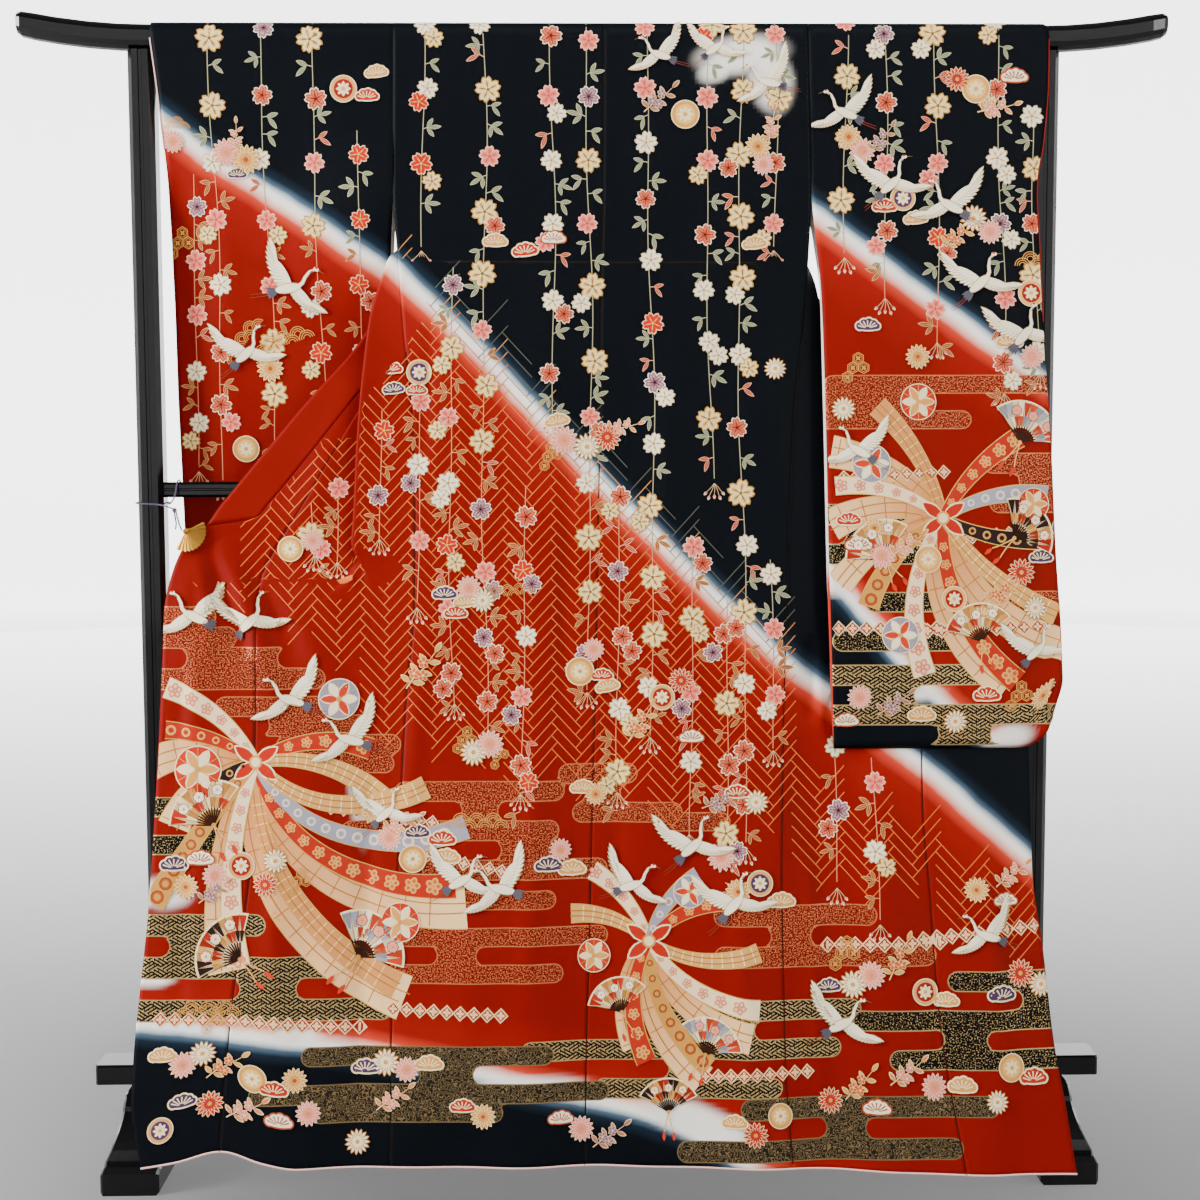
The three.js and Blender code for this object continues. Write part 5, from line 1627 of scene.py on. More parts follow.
def weave_fence(canvas, left, right, limits):
    for column in range(int(left // FENCE_COLUMN), int(right // FENCE_COLUMN) + 1):
        slant = 1 if column % 2 else -1
        for row in range(FENCE_ROWS):
            x = column * FENCE_COLUMN
            z = row * FENCE_STEP
            mid_x, mid_z = x + FENCE_COLUMN / 2, z + slant * FENCE_STEP
            depth = dusk_at("body", mid_x, mid_z)
            ragged = 20 * math.sin(column * 2.1) + 12 * math.sin(column * 5.3 + 1)
            end = np.interp(mid_x, *zip(*FENCE_END)) + ragged
            too_dark = depth > 42 + 14 * math.sin(row * 2.7 + column)
            too_high = mid_z > np.interp(mid_x, *zip(*FENCE_TOP))
            if mid_z < end or too_dark or too_high or not limits(mid_x, mid_z):
                continue
            tone = "dark" if depth > 16 else "pale" if depth > -14 else "red"
            canvas.lay(FENCE_STROKES[tone, slant], x, z, lift=-0.12)


def on_body(x, z):
    return x > float(near_edges(np.array([min(z, FOLD_OPENS)]))[0][0]) + 6


def on_wing(x, z):
    return -528 < x < float(FRONT_LEFT.fold(z)) + 14 and z > FOLD_OPENS - 20


weave_fence(CANVAS["body"], -600, 700, on_body)
weave_fence(CANVAS["wing"], -600, -320, on_wing)
print("body canvas has", CANVAS["body"].count, "corners")

# %% [markdown]
# ## Weeping cherry strands
# Long strands hang from the shoulders: a thin stem, blossoms every 60 to 90 mm, pairs that
# overlap, sprigs between them and a cluster of buds at the end. A seeded shuffle keeps the
# rhythm uneven and the same on every run. Each strand is: across, top, bottom.

# %% Strands
STRANDS = {
    "body": [
        (-256, TOP, 1352), (-166, TOP, 640), (-66, TOP, 1105), (-12, TOP, 705), (79, TOP, 640),
        (166, TOP, 1010), (212, TOP, 480), (262, TOP, 1352), (-214, 1330, 690), (-262, 1160, 830),
        (30, 1010, 560), (136, 930, 500), (186, 840, 470), (252, 900, 620), (-316, 1120, 930),
        (344, 640, 420), (404, 610, 370), (-110, 1010, 560),
    ],
    "wing": [(-388, 1020, 896), (-420, 985, 906)],
    "left": [
        (-600, 1470, 1030), (-566, TOP, 1010), (-488, TOP, 1070), (-412, TOP, 1120), (-348, 1530, 1180),
    ],
    "right": [(366, TOP, 1340), (424, TOP, 1280), (500, TOP, 1215), (596, TOP, 1140), (648, 1560, 1170)],
    "left_far": [(-600, TOP, 1060), (-520, TOP, 1120), (-440, TOP, 1080), (-360, TOP, 1180)],
    "right_far": [(370, TOP, 1240), (450, TOP, 1120), (530, TOP, 1040), (608, TOP, 1090)],
}
MOODS = ["cream", "white", "pink", "wine", "plum", "scarlet"]
WEIGHTS = [24, 24, 20, 17, 10, 7]
FIRST_SEED = 3


def hang_strand(canvas, x, top, bottom, seed):
    rng = random.Random(seed)

    def sway(z):
        return 4 * math.sin(z / 150 + seed) + 2 * math.sin(z / 61 + seed * 2)

    heights = np.arange(top, bottom, -11.0)
    middle = (top + bottom) / 2
    for first in range(0, len(heights) - 1, 6):
        part = heights[first:first + 7]
        tone = (176, 176, 150) if canvas.dark_at(x, part.mean()) else (228, 150, 118)
        drawing = Drawing()
        drawing.line([(sway(z), z - middle) for z in part], 1.25, tone, 0)
        canvas.lay(drawing.done(), x, middle, lift=-0.05)
    z = top - rng.uniform(6, 50)
    while z > bottom + 22:
        at = x + sway(z) + rng.uniform(-5, 5)
        kind = rng.choices(MOODS, WEIGHTS)[0]
        size = {"cream": 1.2, "white": 1.0}.get(kind, 0.96) * rng.uniform(0.94, 1.06)
        canvas.lay(BLOSSOMS[kind], at, z, size, rng.uniform(0, 6.28), lift=0.1)
        if rng.random() < 0.36:
            second = rng.choices(MOODS, WEIGHTS)[0]
            beside = at + rng.choice((-1, 1)) * rng.uniform(11, 17)
            below = z - rng.uniform(19, 27)
            canvas.lay(BLOSSOMS[second], beside, below, 0.9, rng.uniform(0, 6.28), lift=0.55)
            z -= 14
        for drop in rng.choice(((38,), (30, 56), (28, 52), (44,))):
            leaf_z = z - drop - rng.uniform(-5, 5)
            tone = "dark" if canvas.dark_at(x, leaf_z) else "red"
            tone = "blush" if rng.random() < 0.16 else tone
            side = rng.choice((-1, 1))
            turn = side * rng.uniform(-0.7, 0.35)
            leaves = rng.choice(SPRIGS[tone])
            canvas.lay(leaves, x + sway(leaf_z), leaf_z, rng.uniform(0.9, 1.1), turn, side < 0)
        z -= rng.uniform(76, 100)
    canvas.lay(BUDS, x + sway(bottom), bottom + 2, 0.8)


seed = FIRST_SEED
for where, strands in STRANDS.items():
    for x, top, bottom in strands:
        hang_strand(CANVAS[where], x, top, bottom, seed)
        seed += 1
print(seed - FIRST_SEED, "strands")

# %% [markdown]
# ## Motifs between the strands
# Clusters of garden motifs sit beside the strands, cranes fly over the mist, and rows of
# diamonds close the bands. Each row of a table is: motif where there are several, across, level,
# size, turn. A size of 1 and a turn of 0 may be left out. A crane with a "-" before its size is
# mirrored.

# %% Garden motifs and cranes
SCATTER = {
    "body": """
        disc_gold 131 1553 / spray_lilac 92 1575 0.9 0.1 / pine_wine -106 1352 0.95 0.1
        pine_amber -150 1366 0.9 / pine_white -64 1370 0.9 / mum_amber 238 1506 0.95 0.3
        spray_blush 258 1535 0.8 0.8 / mum_pink 246 1480 0.8 / pine_amber 232 1362 0.9 0.1
        mum_cream 262 1180 0.8 / pine_wine -304 1180 0.85 / disc_indigo -262 1176 0.9
        pine_indigo -300 1150 0.8 0.1 / pine_wine -266 1148 0.75 / mum_wine 14 1080 1.0 0.2
        mum_cream -16 1066 / mum_pink -50 1076 1.05 / pine_amber -60 1102 0.9 0.2 / shell -74 1052 0.8 0.2
        spray_blush 36 1095 0.8 -0.4 / pine_indigo -226 850 0.9 / pine_amber -196 838 0.85 0.1
        pine_wine -210 822 0.85 / mum_cream -170 842 0.9 / mum_pink -190 860 0.9 / waves -160 846 0.7 0.1
        disc_gold -28 738 / pine_wine 4 730 0.8 / pine_amber 12 714 0.9 0.2 / mum_pink -8 770 0.8
        spray_amber -260 742 1.1 0.3 / shell -200 640 0.8 / mum_pink -160 634 / mum_cream -184 622
        shell -150 616 0.7 0.3 / pine_amber -26 568 0.9 / mum_amber -6 560 0.8 / mum_amber -330 536 0.9
        spray_blush -290 520 0.9 -0.2 / pine_indigo -266 506 0.9 / pine_wine -230 496
        disc_gold -272 470 0.95 / pine_amber -224 470 / waves -214 514 0.9 / mum_pink -306 500 0.9
        pine_indigo -76 458 / pine_amber -42 452 / mum_pink -58 482 0.8 / disc_wine 92 700 0.9
        spray_amber 60 662 1.0 0.4 / mum_wine 120 724 0.9 / pine_white 134 640 0.9 / pine_wine 200 560 0.9
        mum_cream 228 548 0.9 / spray_lilac 176 548 0.9 -0.3 / disc_indigo 232 432 0.9
        mum_amber 200 420 0.9 / pine_amber 262 404 / mum_pink 176 470 / shell 350 330 / mum_pink 392 300
        mum_cream 366 286 / pine_indigo 330 282 0.9 / spray_amber 432 322 1.0 0.5 / disc_wine 470 276 0.9
        pine_amber 500 262 0.9 / mum_amber 548 420 0.9 / pine_white 590 402 0.9 / spray_blush 600 440 0.9
        mum_wine 610 300 / mum_cream 640 284 0.9 / pine_indigo 580 270 / spray_blush 440 168 0.9
        mum_pink 480 150 0.9 / pine_amber 520 150 / disc_gold 592 176 0.9 / pine_wine 624 160
        mum_cream 570 132 0.8 / mum_wine 330 128 0.9 / spray_amber 372 150 0.9 0.2 / pine_white 396 118
        pine_indigo -618 462 / pine_white -580 470 / mum_pink -558 448 0.9 / disc_wine -520 462 0.95
        mum_amber -600 432 0.9 / mum_cream -470 470 0.9 / spray_lilac -560 424 0.8 / shell -440 440 0.8
        mum_wine -484 436 0.9 / mum_pink -600 176 / mum_cream -572 190 / pine_amber -630 190
        spray_amber -540 168 / disc_gold -500 154 / pine_wine -470 140 / mum_amber -440 158 0.9
        pine_indigo -600 118 / mum_wine -560 108 / spray_blush -510 104 / pine_white -462 96
        mum_pink -420 112 0.9 / disc_indigo -630 84 0.9 / waves -600 250 0.9 / shell -560 240 0.8
        pine_indigo -340 172 / mum_cream -310 182 / mum_pink -280 172 0.9 / pine_amber -248 178
        spray_blush -300 130 0.9 / pine_wine -200 118 0.9 / mum_amber -170 106 0.9 / mum_cream -350 70 0.9
        pine_white -60 100 0.9 / mum_pink -30 86 0.9 / spray_lilac 10 76 0.9 / pine_amber 190 96 0.9
        mum_wine 220 82 0.9 / disc_gold 256 108 0.85""",
    "wing": "disc_gold -452 918 0.9 / mum_pink -420 930 0.8",
    "left": """
        disc_wine -370 1590 0.95 / pine_wine -336 1578 0.85 / pine_amber -322 1612 0.85 0.1
        mum_amber -516 1490 1.05 0.2 / mum_pink -545 1500 / spray_blush -530 1520 0.7 0.9
        pine_indigo -530 1468 0.7 / waves -660 1534 0.7 / shell -624 1372 0.95 / mum_pink -622 1516 0.8
        waves -500 1210 0.9 0.3 / mum_amber -490 1186 / waves -544 1200 0.8 0.9 / disc_gold -530 1066 0.95
        disc_gold -480 1038 1.05 / shell -506 1046 0.8 / pine_white -530 920 1.1 / pine_amber -590 842
        pine_wine -570 850 0.9 / mum_pink -606 640 0.9""",
    "right": """
        mum_pink 392 1500 0.95 / mum_amber 372 1520 0.9 / spray_lilac 420 1516 0.8 0.3 / disc_gold 560 1590
        mum_wine 532 1604 0.9 / pine_white 616 1606 / spray_blush 590 1562 0.9 -0.4
        disc_indigo 452 1430 0.9 / pine_wine 424 1416 0.9 / pine_amber 470 1398 0.9 0.1 / mum_cream 556 1400
        mum_pink 580 1380 0.9 / spray_amber 532 1374 0.9 / waves 628 1330 0.9 / disc_wine 640 1290 0.95
        pine_indigo 396 1240 0.9 / mum_amber 470 1196 0.9 / shell 374 1180 0.9 / pine_amber 606 1216
        mum_pink 640 1196 0.9 / mum_cream 360 1120 0.9 / pine_white 380 920 / mum_pink 414 906
        spray_blush 450 920 0.9 / disc_gold 482 900 0.95 / pine_wine 366 956 0.9 / mum_amber 404 946 0.8
        mum_wine 620 880 / pine_indigo 650 900 0.9 / spray_amber 590 850 0.9 / mum_cream 640 828 0.9
        pine_amber 560 820 0.9 / disc_wine 520 842 0.9 / mum_pink 380 700 0.9 / spray_lilac 430 690 0.9
        pine_amber 470 672 / mum_cream 520 664 0.9 / pine_wine 566 700 / shell 610 700 0.9
        mum_amber 650 690 0.9 / pine_white 360 664 0.9""",
    "left_far": "mum_pink -560 900 / pine_amber -500 760 / disc_gold -420 860",
    "right_far": "mum_cream 400 900 / pine_wine 500 820 / disc_wine 590 900",
}
CRANES = {
    "body": """
        -592 822 1.0 0.1 / -508 814 -0.95 0.3 / -452 700 1.0 0.2 / -366 642 1.0 0.25 / -310 536 -0.85 0.2
        -200 440 -0.95 / -146 428 1.0 0.3 / 48 430 -0.9 -0.2 / 136 486 -1.0 0.2 / 196 404 -1.0 0.3
        350 232 -1.0 -0.1 / 560 356 0.9 0.2 / 92 1640 0.8 0.2 / 176 1650 -0.75 0.1 / 252 1600 0.85 0.3""",
    "left": "-455 1305 -1.05 -0.35 / -524 1210 -0.95 0.2",
    "right": """
        365 1556 0.9 0.1 / 436 1452 -0.95 0.2 / 520 1420 / 566 1306 -1.0 0.2 / 630 1230 -1.0 0.3
        380 1060 0.9 / 642 766 -0.9 0.2""",
    "left_far": "-480 940 / -560 1180 -1.0 0.2",
    "right_far": "440 960 / 570 1000 -1.0 0.2",
}
DIAMONDS = {
    "body": """
        -634 245 1.0 -0.04 / -512 240 1.0 -0.05 / -300 258 0.95 -0.06 / -270 478 0.9 -0.2 / 330 342 1.0 0.02
        470 350 1.0 0.1 / 150 160 0.9 0.05 / -390 544 0.9 -0.15""",
    "right": "350 800 / 480 796 1.0 0.03 / 530 930 0.9 0.1 / 360 1020 0.9 0.05",
}
CRANE_SIZE, DIAMOND_SIZE = 1.15, 1.3


def rows_of(text):
    for entry in text.replace("\n", " / ").split("/"):
        names = [word for word in entry.split() if word[0].isalpha()]
        numbers = [float(word) for word in entry.split()[len(names):]]
        if numbers:
            yield names + numbers + [1.0, 0.0][len(numbers) - 2:]


for where, text in SCATTER.items():
    for name, x, level, size, turn in rows_of(text):
        CANVAS[where].lay(GARDEN[name], x, level, size, turn, lift=1.3)
for where, text in CRANES.items():
    for x, level, size, turn in rows_of(text):
        CANVAS[where].lay(CRANE, x, level, abs(size) * CRANE_SIZE, turn, size < 0, lift=1.8)
for where, text in DIAMONDS.items():
    for x, level, size, turn in rows_of(text):
        CANVAS[where].lay(GARDEN["diamonds"], x, level, size * DIAMOND_SIZE, turn, lift=0.3)
print("body canvas has", CANVAS["body"].count, "corners")

# %% [markdown]
# ## Bundles of streamers
# Long paper strips tied in the middle are an old sign of celebration. Each strip is a curved
# band that widens from the knot, with a gold edge, crossing stripes or a run of small blossoms.

# %% Streamers
STRIP_TONES = [
    ((222, 176, 116), (250, 234, 196)), ((216, 158, 104), (244, 212, 156)), ((186, 54, 36), (240, 196, 120)),
    ((246, 228, 200), (214, 104, 84)), ((164, 166, 190), (244, 232, 214)), ((206, 160, 88), (160, 52, 38)),
    ((44, 32, 40), (226, 178, 104)), ((214, 140, 88), (196, 128, 76)),
]
BROAD_TIP = (248, 216, 172)


def strip(reach, heading, bend, width, tone, pattern):
    drawing = Drawing()
    base, accent = STRIP_TONES[tone]
    tip = BROAD_TIP if pattern == 3 else None

    def place(t):
        turn = heading + bend * t
        return reach * t * math.cos(turn), reach * t * math.sin(turn)

    course = [place(t) for t in np.linspace(0.02, 1, 30)]
    drawing.line(course, width * 0.45 + 2.6, (222, 182, 108), 0, 0.7, end_width=width + 2.6)
    drawing.line(course, width * 0.45, base, 1, end_width=width, end_colour=tip)
    spacing = {0: 14, 1: 22, 2: 26, 3: 30}[pattern]
    for t in np.arange(0.16, 0.97, spacing / reach):
        x, y = place(t)
        ahead = place(t + 0.02)
        turn = math.atan2(ahead[1] - y, ahead[0] - x)
        half = width * lerp(0.45, 1, t) * 0.46
        side = (-math.sin(turn) * half, math.cos(turn) * half)
        if pattern in (0, 3):
            drawing.line([(x - side[0], y - side[1]), (x + side[0], y + side[1])], 1.6, accent, 2)
        elif pattern == 1:
            drawing.blob(oval(half * 0.7, half * 0.7), accent, 2, base, corners=9, at=(x, y))
            drawing.blob(oval(half * 0.36, half * 0.36), base, 3, corners=7, at=(x, y))
        else:
            petal = oval(half * 0.4, half * 0.34, half * 0.46)
            for i in range(5):
                drawing.blob(petal, accent, 2, base, corners=8, at=(x, y), turn=turn + i * 2 * math.pi / 5)
    if pattern in (0, 3):
        for aside in (-0.3, 0.3):
            reach_x = aside * width * 0.5 * math.sin(heading + bend)
            reach_y = aside * width * 0.5 * math.cos(heading + bend)
            inner = [place(t) for t in np.linspace(0.1, 1, 24)]
            inner = [(x + reach_x, y - reach_y) for x, y in inner]
            drawing.line(inner, 1.6, (190, 138, 62), 3, 0.6)
    return drawing.done()


def knot():
    drawing = Drawing()
    for turn in (0.6, 2.5, 3.8, 5.6):
        drawing.leaf((40, 20), CREAM, (37, 15), (190, 50, 34), 0, 14, turn=turn)
    drawing.blob(oval(10, 10), AMBER, 2, gold=0.6)
    drawing.blob(oval(7, 7), CREAM, 3)
    return drawing.done()


KNOT = knot()
# Each row: canvas, across, level, then the strips as (reach, heading, bend, width, tone, pattern)
BUNDLES = [
    ("body", -500, 610, [
        (170, 2.7, 0.5, 50, 7, 3), (150, 3.2, 0.6, 46, 7, 3), (400, -1.75, 0.75, 64, 7, 3),
        (370, -1.45, 0.85, 58, 7, 3), (300, -2.05, 0.35, 54, 7, 3), (170, 2.1, 0.35, 30, 3, 2),
        (168, 0.6, -0.5, 30, 2, 2), (196, 0.2, -0.5, 32, 0, 0), (380, -1.6, 0.6, 36, 1, 0),
        (340, -1.3, 0.75, 34, 2, 2), (320, -1.1, 0.8, 32, 4, 1), (290, -1.95, 0.3, 34, 3, 2),
        (250, -2.3, 0.1, 32, 5, 1), (250, -0.85, 0.7, 32, 0, 0), (140, 2.5, 0.3, 24, 2, 1),
        (120, 3.4, 0.4, 26, 6, 1),
    ]),
    ("body", 70, 350, [
        (150, -2.3, 0.6, 40, 7, 3), (210, -1.8, 0.6, 44, 7, 3), (200, -1.35, 0.6, 42, 7, 3),
        (120, 2.4, 0.4, 26, 0, 0), (130, 1.9, 0.35, 26, 3, 2), (118, 1.3, -0.4, 26, 4, 1),
        (130, 0.85, -0.4, 26, 2, 2), (196, -1.62, 0.5, 28, 5, 1), (186, -1.05, 0.5, 28, 3, 2),
        (160, -0.6, 0.5, 26, 0, 0), (170, -2.1, 0.5, 28, 2, 2),
    ]),
    ("right", 505, 960, [
        (165, 2.7, 0.5, 46, 7, 3), (190, 2.2, 0.4, 46, 7, 3), (260, -1.9, 0.7, 54, 7, 3),
        (270, -1.4, 0.6, 56, 7, 3), (180, 3.3, 0.4, 40, 7, 3), (190, 1.8, 0.3, 30, 1, 0),
        (165, 1.1, -0.3, 30, 2, 2), (160, 0.6, -0.4, 28, 4, 1), (170, 3.6, 0.4, 30, 5, 1),
        (230, -2.2, 0.5, 32, 3, 2), (262, -1.65, 0.5, 34, 2, 2), (220, -1.0, 0.3, 30, 0, 0),
        (160, -0.5, 0.3, 28, 6, 1), (165, 2.45, 0.4, 26, 3, 2),
    ]),
    ("right_far", 500, 960, [
        (150, 2.6, 0.5, 40, 7, 3), (170, 1.9, 0.3, 30, 3, 2), (150, 0.7, -0.4, 28, 1, 0),
        (200, -2.2, 0.5, 32, 2, 2), (230, -1.7, 0.5, 40, 7, 3), (200, -1.1, 0.3, 30, 4, 1),
    ]),
]
for where, x, level, strips in BUNDLES:
    for i, (reach, heading, bend, width, tone, pattern) in enumerate(strips):
        drawn = strip(reach, heading, bend, width, tone, pattern)
        CANVAS[where].lay(drawn, x, level, lift=-0.1 + 0.07 * i)
    CANVAS[where].lay(KNOT, x, level, lift=1.1)

PICTURE_SPOTS = """
body ball_red -584 600 1.15 / body fan_red -560 520 1.1 0.5 / body ball_blue -380 700
body fan_blue -352 330 1.15 -0.7 / body fan_dark -520 330 1.1 0.9 / body ball_red -290 380 0.95
body fan_red 30 250 0.85 0.3 / body ball_blue 130 420 0.8 / body fan_blue 150 190 0.9 -0.4
body ball_red -10 330 0.8 / body fan_dark 96 110 0.8 / right fan_red 420 900 1.0 0.5
right ball_blue 400 1040 0.95 / right fan_blue 620 1070 1.05 -0.5 / right fan_dark 610 930 1.0 -0.9
right ball_red 470 1130 0.9 / right ball_red 640 980 0.8 / right fan_red 560 780 0.95 0.2
right ball_blue 440 790 0.9 / left_far fan_red -470 1000 1.0 0.3 / left_far ball_blue -400 700
left_far fan_blue -540 700 1.0 0.2 / right_far fan_blue 420 1040 1.0 0.3 / right_far ball_red 600 760
right_far fan_red 480 700 1.0 0.2
"""
for where, name, x, level, size, turn in rows_of(PICTURE_SPOTS):
    CANVAS[where].lay(PICTURES[name], x, level, size, turn, lift=1.25)
print("streamers, fans and balls are laid")

# %% [markdown]
# ## Seams and trims
# Cut pieces meet in hair-fine dark seams. The hem is rolled over a pale padded edge, the cuffs
# are piped, and a tuck crosses the back where the waist sash covers it: its fold is drawn as a
# dark line of painted shade with a paler line of painted highlight above it.

# %% Seam lines and stitches
INK_DARK, INK_WINE = (6, 7, 12), (74, 14, 12)
SEAM_WIDTH, SEAM_LIFT = 1.5, -0.2


def seam_line(canvas, across, top, bottom):
    heights = np.arange(top, bottom - 1, -12.0)
    for first in range(0, len(heights) - 1, 8):
        part = heights[first:first + 9]
        x = float(across(part.mean()))
        drawing = Drawing()
        dark = canvas.dark_at(x, part.mean())
        course = [(float(across(z)) - x, z - part.mean()) for z in part]
        if len(course) > 1:
            drawing.line(course, SEAM_WIDTH, INK_DARK if dark else INK_WINE, 0)
            canvas.lay(drawing.done(), x, part.mean(), lift=SEAM_LIFT)


def straight(canvas, start, end, colour, width):
    drawing = Drawing()
    middle = ((start[0] + end[0]) / 2, (start[1] + end[1]) / 2)
    count = max(2, int(math.dist(start, end) / 12))
    course = [(lerp(start[0], end[0], t) - middle[0], lerp(start[1], end[1], t) - middle[1])
              for t in np.linspace(0, 1, count)]
    drawing.line(course, width, colour, 0)
    canvas.lay(drawing.done(), *middle, lift=SEAM_LIFT)


body = CANVAS["body"]
seam_line(body, BACK.centre, TOP, HEM_LEVEL + 4)
seam_line(body, BACK.sideLeft, ARMPIT - 60, HEM_LEVEL + 4)
seam_line(body, BACK.sideRight, ARMPIT - 60, HEM_LEVEL + 4)
seam_line(body, FRONT_LEFT.seam, 826, HEM_LEVEL + 4)
seam_line(body, FRONT_RIGHT.seam, 640, HEM_LEVEL + 4)
seam_line(CANVAS["wing"], FRONT_LEFT.seam, 1076, 878)
# The tuck's fold is not modelled: the dark line is painted shade under the fold, and the paler line just
# above it is a painted highlight on its edge.
straight(body, (-292, 1337), (308, 1334), (2, 3, 5), 1.6)
straight(body, (-292, 1339), (308, 1336), (34, 40, 50), 1.0)
for z in np.arange(1660, 1350, -9.0):
    for edge in (float(BACK.sideLeft(z)) + 3.4, float(BACK.sideRight(z)) - 3.4):
        straight(body, (edge, z), (edge, z - 3.0), (58, 66, 78), 0.45)

# %% Print the canvases
SILK_WARMTH = (1.0, 0.93, 0.8)


def printed_motifs():
    g = Graph("printed_motifs")
    cloth = g.node("ShaderNodeUVMap", {"uv_map": "cloth"})
    gold = g.stored("gold")
    crepe = g.noise(cloth, CREPE_GRAIN, 2)
    wash = g.noise(cloth, 42, 2)
    ink = g.mix(wash * 0.06, g.stored("ink", output=0), rgba(rgb(205, 160, 120)))
    deeper = g.node("ShaderNodeGamma", None, {"Color": ink, "Gamma": 1.22})
    warm = {"data_type": "RGBA", "blend_type": "MULTIPLY"}
    inked = g.node("ShaderNodeMix", warm, {0: 1.0, 6: deeper, 7: rgba(SILK_WARMTH)}, output=2)
    bump = g.bump(crepe, 0.00018, 0.5)
    return finish_silk(g, inked, 0.56 - gold * 0.16, crepe, bump, Metallic=gold * 0.55)


PRINTED = printed_motifs()
PRINTS = {name: canvas.piece(PRINTED) for name, canvas in CANVAS.items()}

# %% Rolled hem and piped edges


def piping(name, course, radius, material, sides=7):
    course = np.array(course)
    along = np.gradient(course, axis=0)
    along /= np.linalg.norm(along, axis=1, keepdims=True)
    out = np.cross(along, (0, -1, 0))
    out /= np.linalg.norm(out, axis=1, keepdims=True)
    up = np.cross(along, out)
    bm = bmesh.new()
    bmesh.ops.create_grid(bm, x_segments=len(course) - 1, y_segments=sides, size=1)
    for vert in bm.verts:
        i = round((vert.co.x + 1) / 2 * (len(course) - 1))
        angle = (vert.co.y + 1) * math.pi
        place = course[i] + radius * (math.cos(angle) * out[i] + math.sin(angle) * up[i])
        vert.co = (place + (0, DEPTH_SHIFT, 0)) * MM
    bmesh.ops.remove_doubles(bm, verts=bm.verts, dist=1e-5)
    bmesh.ops.recalc_face_normals(bm, faces=bm.faces)
    mesh = bpy.data.meshes.new(name)
    bm.to_mesh(mesh)
    bm.free()
    uv = mesh.uv_layers.new(name="cloth")
    for loop in mesh.loops:
        spot = mesh.vertices[loop.vertex_index].co
        uv.data[loop.index].uv = (spot.x, spot.z)
    return add_piece(name, mesh, material)


def hem_course(start, end):
    across = np.linspace(start, end, max(2, int(abs(end - start) / 8)))
    level = np.full(across.shape, float(HEM_LEVEL))
    left, right = shown_depth(LEFT, across, level), shown_depth(RIGHT, across, level)
    return on_near_plane(across, level, np.where(across < BACK.centre(level), left, right))


def sleeve_course(sleeve, top, bottom):
    levels = np.arange(top, bottom, -8.0)
    return sleeve_point(sleeve, levels, 1.0, True) + (0, -0.8, 0)


HEM_ROLL, SEAM_GAP, CUFF_TOP = 1.7, 0.6, 1664
okumi_edge, left_seam, middle, right_seam, far_edge = (
    float(curve(HEM_LEVEL))
    for curve in (OKUMI_LEFT.edge, FRONT_LEFT.seam, BACK.centre, FRONT_RIGHT.seam, OKUMI_RIGHT.edge)
)
HEMS = {
    "body_left": ("hem_roll_left", left_seam + SEAM_GAP, middle - SEAM_GAP),
    "body_right": ("hem_roll_right", middle + SEAM_GAP, right_seam - SEAM_GAP),
    "okumi_left": ("okumi_roll_left", okumi_edge, left_seam - SEAM_GAP),
    "okumi_right": ("okumi_roll_right", right_seam + SEAM_GAP, far_edge),
}
TRIMS = {
    name: [piping(trim, hem_course(start, end), HEM_ROLL, PALE_EDGE)]
    for name, (trim, start, end) in HEMS.items()
}
CUFFS = {
    "sleeve_left": ("cuff_edge_left", SLEEVE_LEFT, 1500, 1.0, PALE_EDGE),
    "sleeve_right": ("cuff_edge_right", SLEEVE_RIGHT, 1240, 0.8, RED_EDGE),
}
for name, (trim, sleeve, bottom, radius, silk) in CUFFS.items():
    TRIMS[name] = [piping(trim, sleeve_course(sleeve, CUFF_TOP, bottom), radius, silk)]
GOES_ON = {
    "body_left": ["body", "wing"],
    "sleeve_left": ["left", "left_far"],
    "sleeve_right": ["right", "right_far"],
}
for name, (flat, area) in CUTS.items():
    on_it = TRIMS.get(name, []) + [PRINTS[key] for key in GOES_ON.get(name, [])]
print("declared", len(CUTS), "cut pieces")

# %% [markdown]
# ## Lacquer, gilt and cord
# The stand is black lacquer polished to a mirror. The clip is gilt metal, and the cord is two
# twisted purple strands, with painted shade in the grooves between them. These nodes have the
# right shape in the imported model, so they only get a finish.

# %% Lacquer, gilt and cord


def lacquer():
    g = Graph("black_lacquer")
    place = g.node("ShaderNodeTexCoord", None, None, output=3)
    orange_peel = g.noise(place, 60, 2)
    dust = g.noise(place, 240, 4)
    return g.finish({
        "Base Color": g.mix(dust, rgba(rgb(3, 3, 4)), rgba(rgb(8, 8, 10))),
        "Roughness": 0.07 + dust * 0.06,
        "Normal": g.bump(orange_peel, 0.0004, 0.08),
        "Coat Weight": 0.15,
        "Coat Roughness": 0.04,
        "Specular IOR Level": 0.3,
    })


def gilt():
    g = Graph("gilt_brass")
    place = g.node("ShaderNodeTexCoord", None, None, output=3)
    brushed = g.noise(place, 700, 2)
    return g.finish({
        "Base Color": g.mix(brushed, rgba(rgb(158, 104, 32)), rgba(rgb(204, 152, 66))),
        "Metallic": 1.0,
        "Roughness": 0.24 + brushed * 0.14,
        "Normal": g.bump(brushed, 0.0001, 0.5),
    })


STRAND_PITCH = 3200


def twisted_cord():
    g = Graph("purple_cord")
    place = g.node("ShaderNodeTexCoord", None, None, output=3)
    split = g.node("ShaderNodeSeparateXYZ", None, {0: place})
    # The twist's relief also sets the colour: the cord is darker where the bump is low, as painted shade in
    # the grooves between the strands.
    twist_and_groove_shade = ((split + split.output(1) + split.output(2)) * STRAND_PITCH).wave() * 0.5 + 0.5
    return g.finish({
        "Base Color": g.mix(twist_and_groove_shade, rgba(rgb(34, 20, 52)), rgba(rgb(86, 60, 110))),
        "Roughness": 0.75,
        "Normal": g.bump(twist_and_groove_shade, 0.0003, 0.6),
        "Sheen Weight": 0.2,
    })


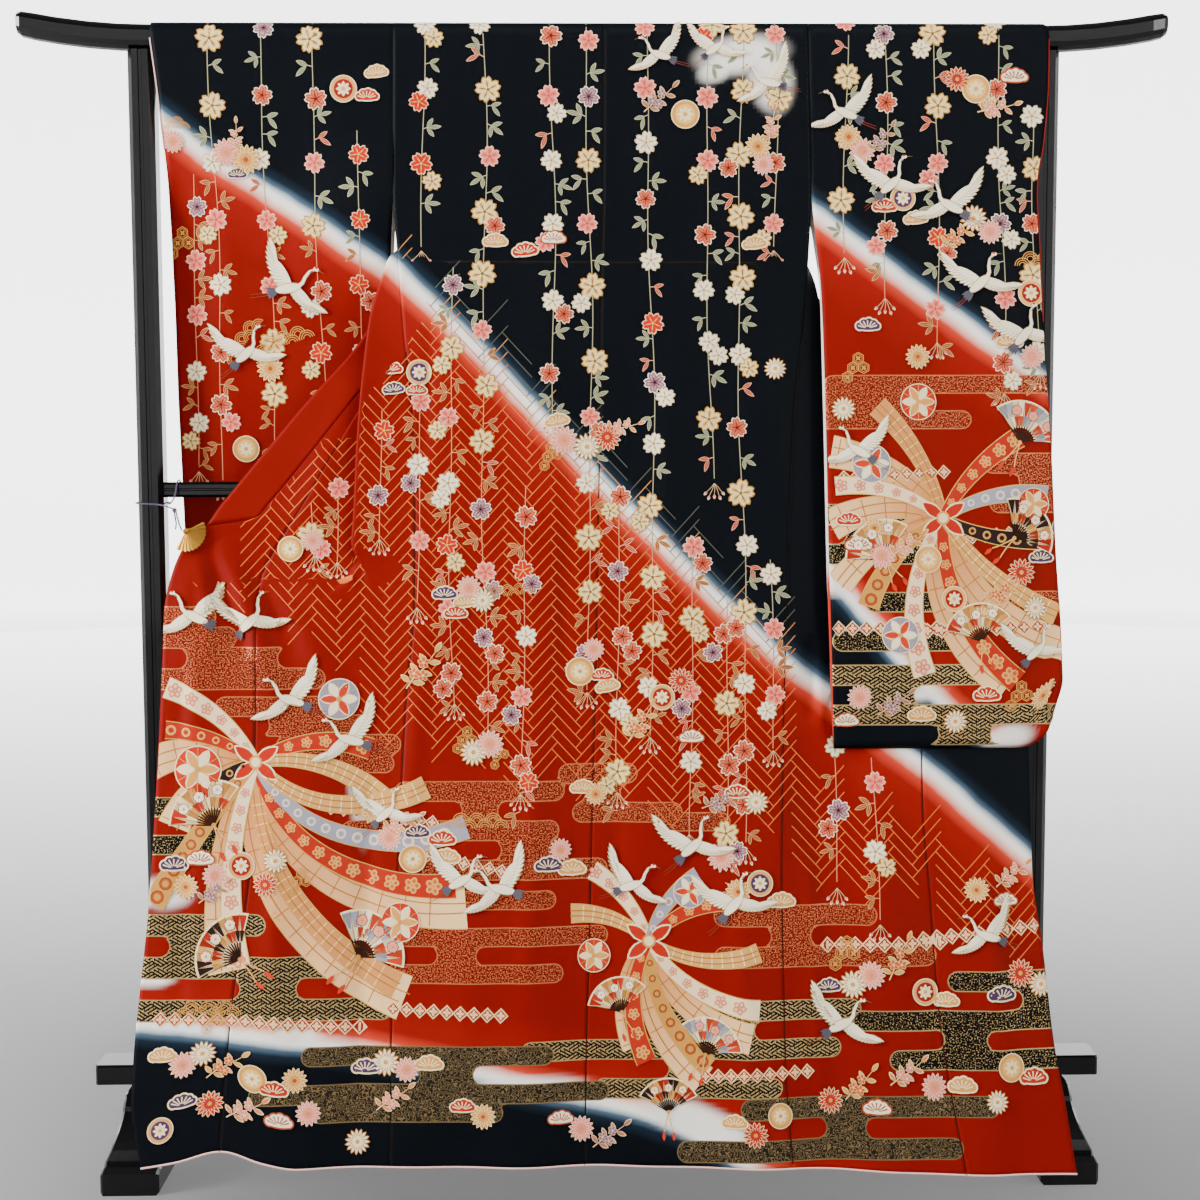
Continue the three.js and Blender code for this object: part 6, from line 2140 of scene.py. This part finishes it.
FINISHES = {"lacquer": lacquer(), "gilt": gilt(), "tie_cord": twisted_cord()}
for node, slot in (
    ("top_rail", "lacquer"), ("mid_rail", "lacquer"), ("bottom_beam", "lacquer"),
    ("post_left", "lacquer"), ("post_right", "lacquer"), ("foot_left", "lacquer"),
    ("foot_right", "lacquer"), ("fan_clip", "gilt"), ("clip_cord", "tie_cord"),
):
    for holder in bpy.data.objects[node].material_slots:
        holder.material = FINISHES[slot]
print("finished", len(FINISHES), "hard materials")

# %% [markdown]
# ## Studio
# A pale floor that sweeps up into a round wall far off, one tall soft light on each side, a wide
# one above and a pale world. The tall lights show as streaks in the lacquer of the posts.

# %% Floor and lights
BACKDROP_GLOW = 2.6
GLOW_REACH = (-0.6, 8.5)
COVE_RADIUS = 9.0
COVE_STEPS = ((1.06, 0.1), (1.05, 0.3), (1.03, 0.6), (1.01, 0.8), (1.0, 7.0))


def studio():
    bm = bmesh.new()
    rim = bmesh.ops.create_circle(bm, cap_ends=True, segments=96, radius=COVE_RADIUS)["verts"]
    for wider, higher in COVE_STEPS:
        edges = [edge for edge in bm.edges if all(vert in rim for vert in edge.verts)]
        made = bmesh.ops.extrude_edge_only(bm, edges=edges)["geom"]
        rim = [part for part in made if isinstance(part, bmesh.types.BMVert)]
        for vert in rim:
            vert.co.x *= wider
            vert.co.y *= wider
            vert.co.z += higher
    bmesh.ops.reverse_faces(bm, faces=[face for face in bm.faces if face.calc_center_median().z > 0])
    mesh = bpy.data.meshes.new("studio_floor")
    bm.to_mesh(mesh)
    bm.free()
    mesh.shade_smooth()
    floor = bpy.data.objects.new("studio_floor", mesh)
    bpy.context.scene.collection.objects.link(floor)
    g = Graph("pale_floor")
    place = g.node("ShaderNodeTexCoord", None, None, output=3)
    behind = g.node("ShaderNodeSeparateXYZ", None, {0: place}, output=1).between(*GLOW_REACH)
    mesh.materials.append(g.finish({
        "Base Color": g.mix(g.noise(place, 3, 2), rgba((0.88, 0.88, 0.88)), rgba((0.92, 0.92, 0.92))),
        "Roughness": 0.9,
        "Specular IOR Level": 0.1,
        "Emission Color": g.mix(behind, rgba((0.08, 0.08, 0.08)), rgba((1, 1, 1))),
        "Emission Strength": BACKDROP_GLOW,
    }))
    g.material.cycles.emission_sampling = "NONE"
    return floor


def soft_light(name, at, aim, size, watts, tall=None):
    data = bpy.data.lights.new(name, "AREA")
    data.shape = "RECTANGLE"
    data.size, data.size_y, data.energy = size, tall or size, watts
    light = bpy.data.objects.new(name, data)
    bpy.context.scene.collection.objects.link(light)
    light.location = at
    direction = np.array(aim, float) - np.array(at, float)
    light.rotation_euler = Vector(direction).to_track_quat("-Z", "Y").to_euler()
    return light


studio()
soft_light("key_light", (-3.7, -1.3, 2.1), (0, 0, 0.95), 1.0, 330, 2.4)
soft_light("fill_light", (2.7, -3.0, 1.9), (0, 0, 0.9), 0.9, 56, 2.4)
soft_light("top_light", (0.3, -1.2, 3.6), (0, -0.1, 0.9), 2.0, 45, 0.9)
world = bpy.data.worlds.new("pale_world")
world.use_nodes = True
world.node_tree.nodes["Background"].inputs[0].default_value = (1, 1, 1, 1)
world.node_tree.nodes["Background"].inputs[1].default_value = 0.15
bpy.context.scene.world = world
